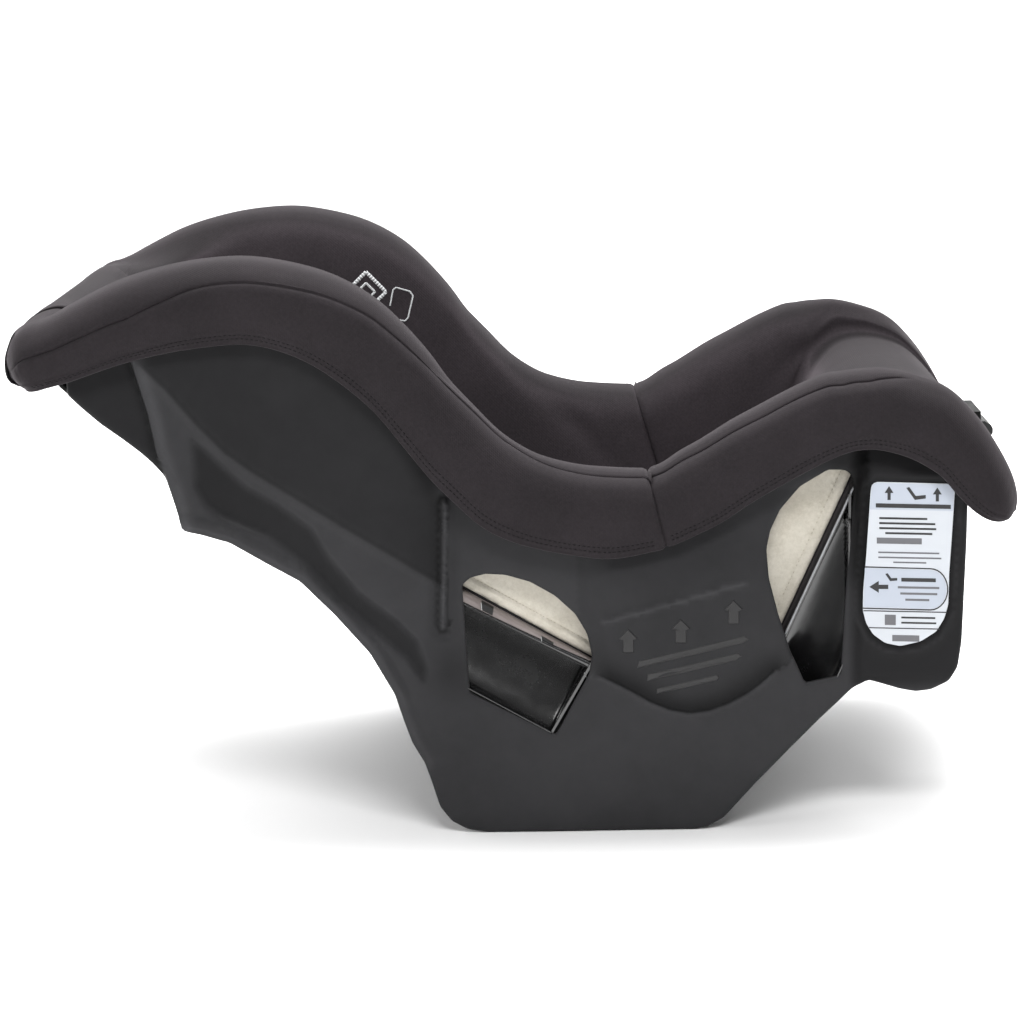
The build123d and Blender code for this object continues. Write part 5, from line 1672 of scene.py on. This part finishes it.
# ----------------------------------------------------------------- pod label
def label_piece(q, tag):
    yl = 200.0
    lp = resample(np.vstack([LABEL_XZ, LABEL_XZ[:1]]), 150)[:-1]
    if area2(lp) < 0:
        lp = lp[::-1]
    yb = float(np.median(195.2 + relief(offset_closed(lp, 4.0)[:, 0], offset_closed(lp, 4.0)[:, 1])))
    face = yb + 0.55
    e1 = offset_closed(lp, 0.25)
    n = len(lp)
    v = [P(a, q * (face - 2.0), b) for a, b in lp] + [P(a, q * (face - 0.15), b) for a, b in lp] + [P(a, q * face, b) for a, b in e1]
    f = []
    for k in (0, 1):
        for i in range(n):
            j = (i + 1) % n
            f.append((k * n + i, k * n + j, (k + 1) * n + j, (k + 1) * n + i))
    f.append(tuple(2 * n + i for i in range(n)))
    f.append(tuple(range(n))[::-1])
    o = new_obj("pod_label_%s" % tag, v, f, M_LABEL, smooth=False)
    fix_normals(o)
    place(o, "seat", "label_film", "label_" + tag)
    groups = {"ink": [], "grey": [], "band": []}

    def mark(kind, pxs, up=0.08):
        pp = [px_to_xz(a, b, -yl) for a, b in pxs]
        vv = [P(a, q * (face + up), b) for a, b in pp]
        groups[kind].append(new_obj("m", vv, [tuple(range(len(vv)))], M_INK, smooth=False))

    def arr(cx, cy, w, h, ang=0.0):
        pts = [(0, -0.5), (0.5, 0.0), (0.18, 0.0), (0.18, 0.5), (-0.18, 0.5), (-0.18, 0.0), (-0.5, 0.0)]
        c, s_ = math.cos(ang), math.sin(ang)
        mark("ink", [(cx + w * a * c - h * b * s_, cy + w * a * s_ + h * b * c) for a, b in pts])

    def bar(kind, x0, y0, x1, y1, sl=0.02, up=0.08):
        mark(kind, [(x0, y0), (x1, y0 + (x1 - x0) * sl), (x1, y1 + (x1 - x0) * sl), (x0, y1)], up)

    # tinted band along the top and tinted round-ended field
    mark("band", [(871.3, 490), (872.4, 484.4), (876.4, 482.3), (948, 484.1), (952.6, 485.8), (953.8, 490), (952.8, 510.5), (869.4, 509.0)], 0.03)
    fld = [(864.6, 567.6), (930, 569.6)]
    for t in np.linspace(-math.pi / 2, math.pi / 2, 14):
        fld.append((930 + 16.4 * math.cos(t), 589 + 19.4 * math.sin(t)))
    fld += [(863.4, 606.2)]
    mark("band", fld, 0.03)
    arr(888.8, 492.5, 9, 14)
    arr(937, 494.0, 9, 14)
    mark("ink", [(906, 487.5), (909, 486.5), (915.5, 495.5), (925.5, 494.5), (925.5, 498.0), (914.5, 499.5)])
    bar("ink", 875.5, 502.8, 950.5, 507.0)
    for x0, x1, yy in ((879, 927, 516.6), (879, 935, 521.6), (879, 936, 526.6), (885, 932, 531.6)):
        bar("ink", x0, yy, x1, yy + 2.0, up=0.06)
    bar("grey", 876.5, 537.0, 921.5, 543.0)
    for x0, x1, yy in ((878, 939, 551.0), (878, 941, 556.0), (893, 926, 561.0)):
        bar("grey", x0, yy, x1, yy + 1.5)
    line = [(864.6, 566.4), (930, 568.2)]
    for t in np.linspace(-math.pi / 2, math.pi / 2, 16):
        line.append((930 + 17.4 * math.cos(t), 588.8 + 20.6 * math.sin(t)))
    line += [(862.6, 607.6)]
    for i in range(len(line) - 1):
        a, b = np.array(line[i], float), np.array(line[i + 1], float)
        t = (b - a) / (np.linalg.norm(b - a) + 1e-9)
        nn = np.array([-t[1], t[0]]) * 0.65
        mark("ink", [tuple(a - nn - t * 0.2), tuple(b - nn + t * 0.2), tuple(b + nn + t * 0.2), tuple(a + nn - t * 0.2)])
    arr(878.5, 586.3, 12, 19, -math.pi / 2)
    mark("ink", [(885, 573.5), (887.4, 572.6), (891, 577.6), (897, 577.4), (897, 580.0), (889.8, 580.6)])
    mark("ink", [(885, 594), (889, 593), (894, 598.4), (898, 600.4), (896, 603.6), (890, 600.6)])
    bar("ink", 901, 577.2, 935.5, 581.0)
    for k, (x0, x1) in enumerate(((897.5, 939), (900, 937), (905, 929))):
        bar("grey", x0, 585.6 + 6.2 * k, x1, 587.8 + 6.2 * k)
    bar("ink", 863.2, 609.6, 946.5, 610.7, up=0.09)
    bar("grey", 884.5, 614.0, 895.5, 624.4)
    bar("ink", 901, 616.0, 935, 617.8)
    bar("ink", 901, 621.2, 936, 623.0)
    bar("ink", 868.6, 626.6, 939.5, 627.6)
    bar("grey", 892, 634.4, 919, 640.6)
    for kind, mat in (("ink", M_INK), ("grey", M_INKG), ("band", M_BAND)):
        j = join_objs("label_%s_%s" % (kind, tag), groups[kind])
        for m in groups[kind]:
            bpy.data.objects.remove(m)
        j.data.materials.clear()
        j.data.materials.append(mat)
        fix_normals(j)
        so = j.modifiers.new("thick", "SOLIDIFY")
        so.thickness = 0.00006
        place(j, "seat", "label_film")


label_piece(-1, "right")
label_piece(1, "left")

# ------------------------------------------------- CAD nodes that stay as built
def dress(node, mat, width=0.0006, seg=2):
    o = NODES[node]
    o.data.materials.clear()
    o.data.materials.append(mat)
    if width:
        b = o.modifiers.new("edge", "BEVEL")
        b.width = width
        b.segments = seg
        b.limit_method = "ANGLE"
        b.angle_limit = math.radians(40)
        b.harden_normals = False


# these shell parts get the darker copy of the shell plastic, painted shade
for nd in ("shell_rib_left", "shell_rib_right", "cross_walls", "base_frame", "anchor_pod_left",
           "anchor_pod_right", "tether_boss"):
    dress(nd, M_SHELL_SHADED)
for nd in ("tongue_left", "tongue_right", "buckle_latch", "crotch_retainer", "hip_retainers", "harness_yoke",
           "adjuster_axle", "adjuster_cam", "adjuster_screws", "anchor_hook_left", "anchor_hook_right",
           "anchor_gate_left", "anchor_gate_right", "anchor_gate_pins", "tether_anchor_plate", "tether_bolt",
           "tether_hook", "tether_gate", "tether_gate_pin", "tether_adjuster"):
    dress(nd, M_STEEL, 0.0004)
dress("adjuster_housing", M_DARKSTEEL, 0.0004)
dress("adjuster_spring", M_SPRING, 0.0002)


def button_spring():
    """A wound spring under the buckle button, as long as the buckle_spring part."""
    lo, hi = (np.array(v, float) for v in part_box("buckle_spring"))
    ax = np.array([NX, 0.0, NZ])
    ax /= np.linalg.norm(ax)
    length = (float(hi[2] - lo[2]) - 0.0084 * abs(ax[0])) / ax[2]
    mid = 0.5 * (lo + hi)
    side = np.array([0.0, 1.0, 0.0])
    up = np.cross(ax, side)
    pts = []
    turns, per = 6.0, 20
    a0 = mid - ax * (length / 2 - 0.00055)
    run = length - 0.0011
    for i in range(int(turns * per) + 1):
        t = i / (turns * per)
        a = 2 * math.pi * turns * t
        p = a0 + ax * run * t + 0.0035 * (math.cos(a) * side + math.sin(a) * up)
        pts.append((p[0] * 1000 + CX, p[1] * 1000, p[2] * 1000))
    tube("buckle_spring_coil", pts, 0.45, M_SPRING, "spring_steel")
    o = bpy.data.objects["buckle_spring_coil"]
    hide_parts("buckle_spring")
    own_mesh(o)


button_spring()
for nd in ("buckle_front_casing", "buckle_rear_casing", "chest_clip_left", "chest_clip_right", "anchor_strap_adjuster",
           ):
    dress(nd, M_TRIM, 0.001, 3)


def lever_copy():
    src = NODES["release_lever"]
    me = src.data.copy()
    me.name = "release_lever_skin"
    mw = src.matrix_world
    co_ = np.array([tuple(mw @ v.co) for v in me.vertices])
    x1 = co_[:, 0].max()
    x0 = x1 - 0.016
    t = np.clip((co_[:, 0] - x0) / (x1 - x0), 0, 1)
    co_[:, 0] = np.where(co_[:, 0] > x0, x0 + (co_[:, 0] - x0) * 0.42, co_[:, 0])
    mid = 0.5 * (co_[t > 0][:, 2].max() + co_[t > 0][:, 2].min())
    co_[:, 2] = mid + (co_[:, 2] - mid) * (1 - 0.18 * t)
    me.vertices.foreach_set("co", co_.reshape(-1))
    me.update()
    me.materials.clear()
    me.materials.append(M_TRIM)
    for p in me.polygons:
        p.material_index = 0
    o = bpy.data.objects.new("release_lever_skin", me)
    bpy.context.scene.collection.objects.link(o)
    b = o.modifiers.new("edge", "BEVEL")
    b.width = 0.0012
    b.segments = 3
    b.limit_method = "ANGLE"
    b.angle_limit = math.radians(40)
    place(o, "adjuster_lever", "trim_plastic", "release_lever")


lever_copy()
for nd in ("buckle_button", "anchor_adjuster_button"):
    dress(nd, M_RED, 0.0008, 3)
dress("chest_clip_button", M_GREY, 0.0008, 3)

# ------------------------------------------------------------------- webbing
def strap(name, keys, wid, half, node=None, body="seat", thick=1.5, r=3.0):
    """Woven strap along key points (x, y, z); wid is the width direction per key or one for all."""
    K = np.asarray(keys, float)
    W = np.asarray(wid, float)
    if W.ndim == 1:
        W = np.repeat(W[None], len(K), axis=0)
    d = np.concatenate([[0], np.cumsum(np.linalg.norm(np.diff(K, axis=0), axis=1))])
    n = max(24, int(d[-1] / 1.6))
    t = np.linspace(0, d[-1], n)
    L = np.column_stack([np.interp(t, d, K[:, k]) for k in range(3)])
    Wd = np.column_stack([np.interp(t, d, W[:, k]) for k in range(3)])
    win = max(1, int(r / 1.6))
    for _ in range(4):
        A = L.copy()
        for o_ in range(1, win + 1):
            pad0 = np.repeat(L[:1], o_, axis=0) - (L[1:o_ + 1][::-1] - L[:1])
            pad1 = np.repeat(L[-1:], o_, axis=0) - (L[-o_ - 1:-1][::-1] - L[-1:])
            A += np.vstack([pad0, L[:-o_]]) + np.vstack([L[o_:], pad1])
        L2 = A / (2 * win + 1)
        L2[0], L2[-1] = L[0], L[-1]
        L = L2
    T = np.gradient(L, axis=0)
    T /= np.linalg.norm(T, axis=1, keepdims=True) + 1e-9
    Wd -= T * np.sum(Wd * T, axis=1, keepdims=True) * 0.0
    Wd /= np.linalg.norm(Wd, axis=1, keepdims=True)
    N = np.cross(T, Wd)
    N /= np.linalg.norm(N, axis=1, keepdims=True) + 1e-9
    h = thick / 2
    # cross-section with thicker selvedges and two shallow channels
    us = np.array([-1, -0.985, -0.94, -0.88, -0.83, -0.6, -0.36, -0.33, -0.3, 0, 0.3, 0.33, 0.36, 0.6, 0.83, 0.88, 0.94, 0.985, 1])
    hs = np.array([0.35, 0.8, 1.0, 1.0, 0.82, 0.86, 0.88, 0.72, 0.88, 0.9, 0.88, 0.72, 0.88, 0.86, 0.82, 1.0, 1.0, 0.8, 0.35]) * h
    ring = [(u * half, v) for u, v in zip(us, hs)] + [(u * half, -v) for u, v in zip(us[::-1], hs[::-1])]
    m = len(ring)
    v, f = [], []
    for i in range(n):
        for a, b in ring:
            v.append(P(*(L[i] + Wd[i] * a + N[i] * b)))
    for i in range(n - 1):
        for j in range(m):
            j2 = (j + 1) % m
            f.append((i * m + j, i * m + j2, (i + 1) * m + j2, (i + 1) * m + j))
    f.append(tuple(range(m))[::-1])
    f.append(tuple((n - 1) * m + j for j in range(m)))
    o = new_obj(name, v, f, M_WEB)
    fix_normals(o)
    place(o, body, "webbing", *([node] if node else []))
    return o


def b3(u, y, n):
    x, z = B(u, n)
    return (x, y, z)


for q, tag in ((1, "left"), (-1, "right")):
    keys = [b3(259, q * 21.5, -8.8), b3(404, q * 41, -8.8), b3(414.6, q * 42, -8.0), b3(415, q * 42, 0), b3(415, q * 42, 12),
            b3(412, q * 42, 18.0), b3(404, q * 42, 18.4), b3(222, q * 42, 18.4), b3(150, q * 24.25, 18.4), b3(147.2, q * 24.25, 20.5),
            b3(147.2, q * 24.25, 28.2), b3(150, q * 26.0, 30.2)]
    strap("shoulder_strap_" + tag, keys, (0, 1, 0), 19.0, "harness_webbing_" + tag, r=2.4)
    keys = [b3(148, q * 24.25, 30.2), b3(128, q * 39.6, 30.2), b3(32, q * 113.4, 30.2), b3(27.0, q * 117.4, 29.0), b3(26, q * 118, 22), b3(26, q * 118, -11.5)]
    strap("lap_strap_" + tag, keys, (0, 1, 0), 18.7, None, r=2.6)
cl = [np.array(p) for p in (S(60, -12), S(60, 19.5), B(64, 31.0), B(69, 31.0))]
cl = offset_open([tuple(p) for p in cl], 0.8)
strap("crotch_strap_woven", [(p[0], 0, p[1]) for p in cl], (0, 1, 0), 19.0, "crotch_strap", r=2.0)
al = [B(238, -8.2), B(30, -10.0), (BX + 4, BZ - 15), S(26, -16.0), S(190, -16.0), (270, 268),
      (300, 280), (326, 273), (344, 266.4), (358, 266.4), (370, 262.5), (376.2, 252), (377.4, 238), (377.6, 212)]
al = offset_open(al, -0.8)
strap("adjuster_strap_woven", [(p[0], 0, p[1]) for p in al], (0, 1, 0), 19.0, "adjuster_strap", r=3.2)
strap("anchor_strap_woven", [(282, -168, 200), (282, 0, 200), (282, 168, 200)], (1, 0, 0), 19.0, "lower_anchor_strap")
strap("tether_strap_woven", [b3(330, 0, -24.8), b3(440, 0, -24.8), b3(549, 0, -24.8)], (0, 1, 0), 19.0, "tether_strap")


# ------------------------------------------------ plain tag on the far wing
def wing_tag():
    """Two plain pale printed shapes on the inside of the child's left wing."""
    from mathutils.bvhtree import BVHTree
    bm = bmesh.new()
    bm.from_mesh(cover_back.data)
    tree = BVHTree.FromBMesh(bm)
    cam0 = CAM_C - Vector((CX / 1000.0, 0, 0))

    def hit(px, py):
        d = (Rf * F_PX + Rr * (px - 512.0) - Ru * (py - 512.0)).normalized()
        o = cam0.copy()
        best = None
        for _ in range(6):
            loc, no, idx, dist = tree.ray_cast(o, d)
            if loc is None:
                return best
            if loc.y > 0.05:
                return loc - d * 0.0004
            o = loc + d * 0.001
        return best

    def patch(name, ring, mat, grid=1.2):
        ring = np.array(ring, float)
        lp = dense_round(ring, 1.2, 1)
        gx, gy = np.meshgrid(np.arange(lp[:, 0].min(), lp[:, 0].max(), grid), np.arange(lp[:, 1].min(), lp[:, 1].max(), grid))
        gx, gy = gx.ravel(), gy.ravel()
        if area2(lp) < 0:
            lp = lp[::-1]
        ok = inside(gx, gy, offset_closed(lp, 0.5))
        pts = [Vector((float(a), float(b))) for a, b in lp] + [Vector((float(a), float(b))) for a, b in zip(gx[ok], gy[ok])]
        n = len(lp)
        vo, eo, fo, orig, _, _ = delaunay_2d_cdt(pts, [(i, (i + 1) % n) for i in range(n)], [], 0, 1e-4)
        hits = [hit(v[0], v[1]) for v in vo]
        F = [f for f in fo if len(f) == 3 and all(hits[i] is not None for i in f)]
        F = [f for f in F if inside(np.array([sum(vo[i][0] for i in f) / 3]), np.array([sum(vo[i][1] for i in f) / 3]), lp)[0]]
        used = sorted({i for f in F for i in f})
        if not used:
            return
        remap = {i: k for k, i in enumerate(used)}
        o = new_obj(name, [hits[i] for i in used], [tuple(remap[i] for i in f) for f in F], mat)
        so = o.modifiers.new("thick", "SOLIDIFY")
        so.thickness = 0.0003
        place(o, "seat", "cover_fabric")

    def stroke(name, pts, w, mat):
        L = resample(np.array(pts, float), max(12, int(len(pts) * 8)))
        T = np.gradient(L, axis=0)
        T /= np.linalg.norm(T, axis=1, keepdims=True) + 1e-9
        N = np.column_stack([-T[:, 1], T[:, 0]]) * w / 2
        A = [hit(*(p + n_)) for p, n_ in zip(L, N)]
        C = [hit(*(p - n_)) for p, n_ in zip(L, N)]
        v, f = [], []
        for i in range(len(L) - 1):
            if None in (A[i], A[i + 1], C[i], C[i + 1]):
                continue
            if (A[i] - A[i + 1]).length > 0.02 or (A[i] - C[i]).length > 0.02:
                continue
            b = len(v)
            v += [A[i], A[i + 1], C[i + 1], C[i]]
            f.append((b, b + 1, b + 2, b + 3))
        if not f:
            return
        o = new_obj(name, v, f, mat)
        so = o.modifiers.new("thick", "SOLIDIFY")
        so.thickness = 0.0002
        place(o, "seat", "cover_fabric")

    stroke("wing_mark_diamond", [(366, 272), (386, 292), (366, 312), (346, 292), (366, 272)], 3.6, M_PATCH)
    stroke("wing_mark_diamond_in", [(366, 283), (375, 292), (366, 301), (357, 292), (366, 283)], 2.4, M_PATCH)
    stroke("wing_mark_frame", [(390, 306), (393, 290), (396, 287.5), (410, 291.5), (413, 296), (408, 318), (405, 321), (398, 320)], 1.5, M_PATCH)
    bm.free()


wing_tag()


# ------------------------------------------------------------ stage and camera
def stage():
    me = bpy.data.meshes.new("floor")
    v, f = [], []
    n = 24
    w = 5.0
    prof = [(-6.0, 0.0), (3.0, 0.0)]
    for k in range(1, n + 1):
        a = math.radians(90 * k / n)
        prof.append((3.0 + 1.6 * math.sin(a), 1.6 * (1 - math.cos(a))))
    prof.append((4.6, 6.0))
    for y, z in prof:
        v.append((-w, y, z - 0.0002))
        v.append((w, y, z - 0.0002))
    for i in range(len(prof) - 1):
        f.append((2 * i, 2 * i + 1, 2 * i + 3, 2 * i + 2))
    me.from_pydata(v, [], f)
    me.polygons.foreach_set("use_smooth", [True] * len(me.polygons))
    o = bpy.data.objects.new("floor", me)
    bpy.context.scene.collection.objects.link(o)
    k = Mat("floor_paper")
    nz = k.noise(2.0, 2.0, 0.5)
    k.link(k.ramp(nz, [(0.3, (0.90, 0.90, 0.90)), (0.7, (0.93, 0.93, 0.93))]), k.b.inputs["Base Color"])
    k.set(Roughness=0.9, Specular_IOR_Level=0.1)
    me.materials.append(k.m)


stage()


def area(name, loc, size, power, target=(0.03, 0.0, 0.2), size_y=None, col=(1, 1, 1)):
    L = bpy.data.lights.new(name, "AREA")
    L.shape = "RECTANGLE"
    L.size = size
    L.size_y = size_y or size
    L.energy = power
    L.color = col
    o = bpy.data.objects.new(name, L)
    bpy.context.scene.collection.objects.link(o)
    o.location = loc
    d = Vector(target) - Vector(loc)
    o.rotation_euler = d.to_track_quat("-Z", "Y").to_euler()
    return o


area("top_soft", (0.1, 0.45, 2.4), 1.5, 74)
area("key_front_high", (0.35, -1.8, 2.15), 1.3, 42, size_y=0.6)
area("left_front_high", (-2.0, -1.0, 1.3), 0.9, 14)
area("left_low", (-2.3, -0.7, 0.45), 0.9, 6)
area("back_soft", (0.1, 2.3, 2.6), 2.4, 60, target=(0.0, 1.6, 0.0))
area("floor_wash", (0.0, 1.4, 3.2), 3.0, 80, target=(0.0, 2.6, 0.4))
area("floor_left", (-1.9, 0.2, 2.2), 1.2, 34, target=(-0.9, -0.1, 0.0))
area("floor_right", (1.9, 0.2, 2.2), 1.2, 34, target=(0.9, -0.1, 0.0))

w = bpy.data.worlds.new("studio")
bpy.context.scene.world = w
w.use_nodes = True
w.node_tree.nodes["Background"].inputs["Color"].default_value = (1, 1, 1, 1)
w.node_tree.nodes["Background"].inputs["Strength"].default_value = 0.22
bpy.context.scene.view_settings.view_transform = "Standard"

cam = bpy.data.cameras.new("cam")
cam.sensor_width = 36.0
cam.sensor_fit = "HORIZONTAL"
cam.lens = F_PX / 1024.0 * 36.0
cam.clip_end = 50.0
co = bpy.data.objects.new("cam", cam)
bpy.context.scene.collection.objects.link(co)
M = Matrix((
    (Rr.x, Ru.x, -Rf.x, CAM_C.x - CX / 1000.0),
    (Rr.y, Ru.y, -Rf.y, CAM_C.y),
    (Rr.z, Ru.z, -Rf.z, CAM_C.z),
    (0, 0, 0, 1)))
co.matrix_world = M
bpy.context.scene.camera = co
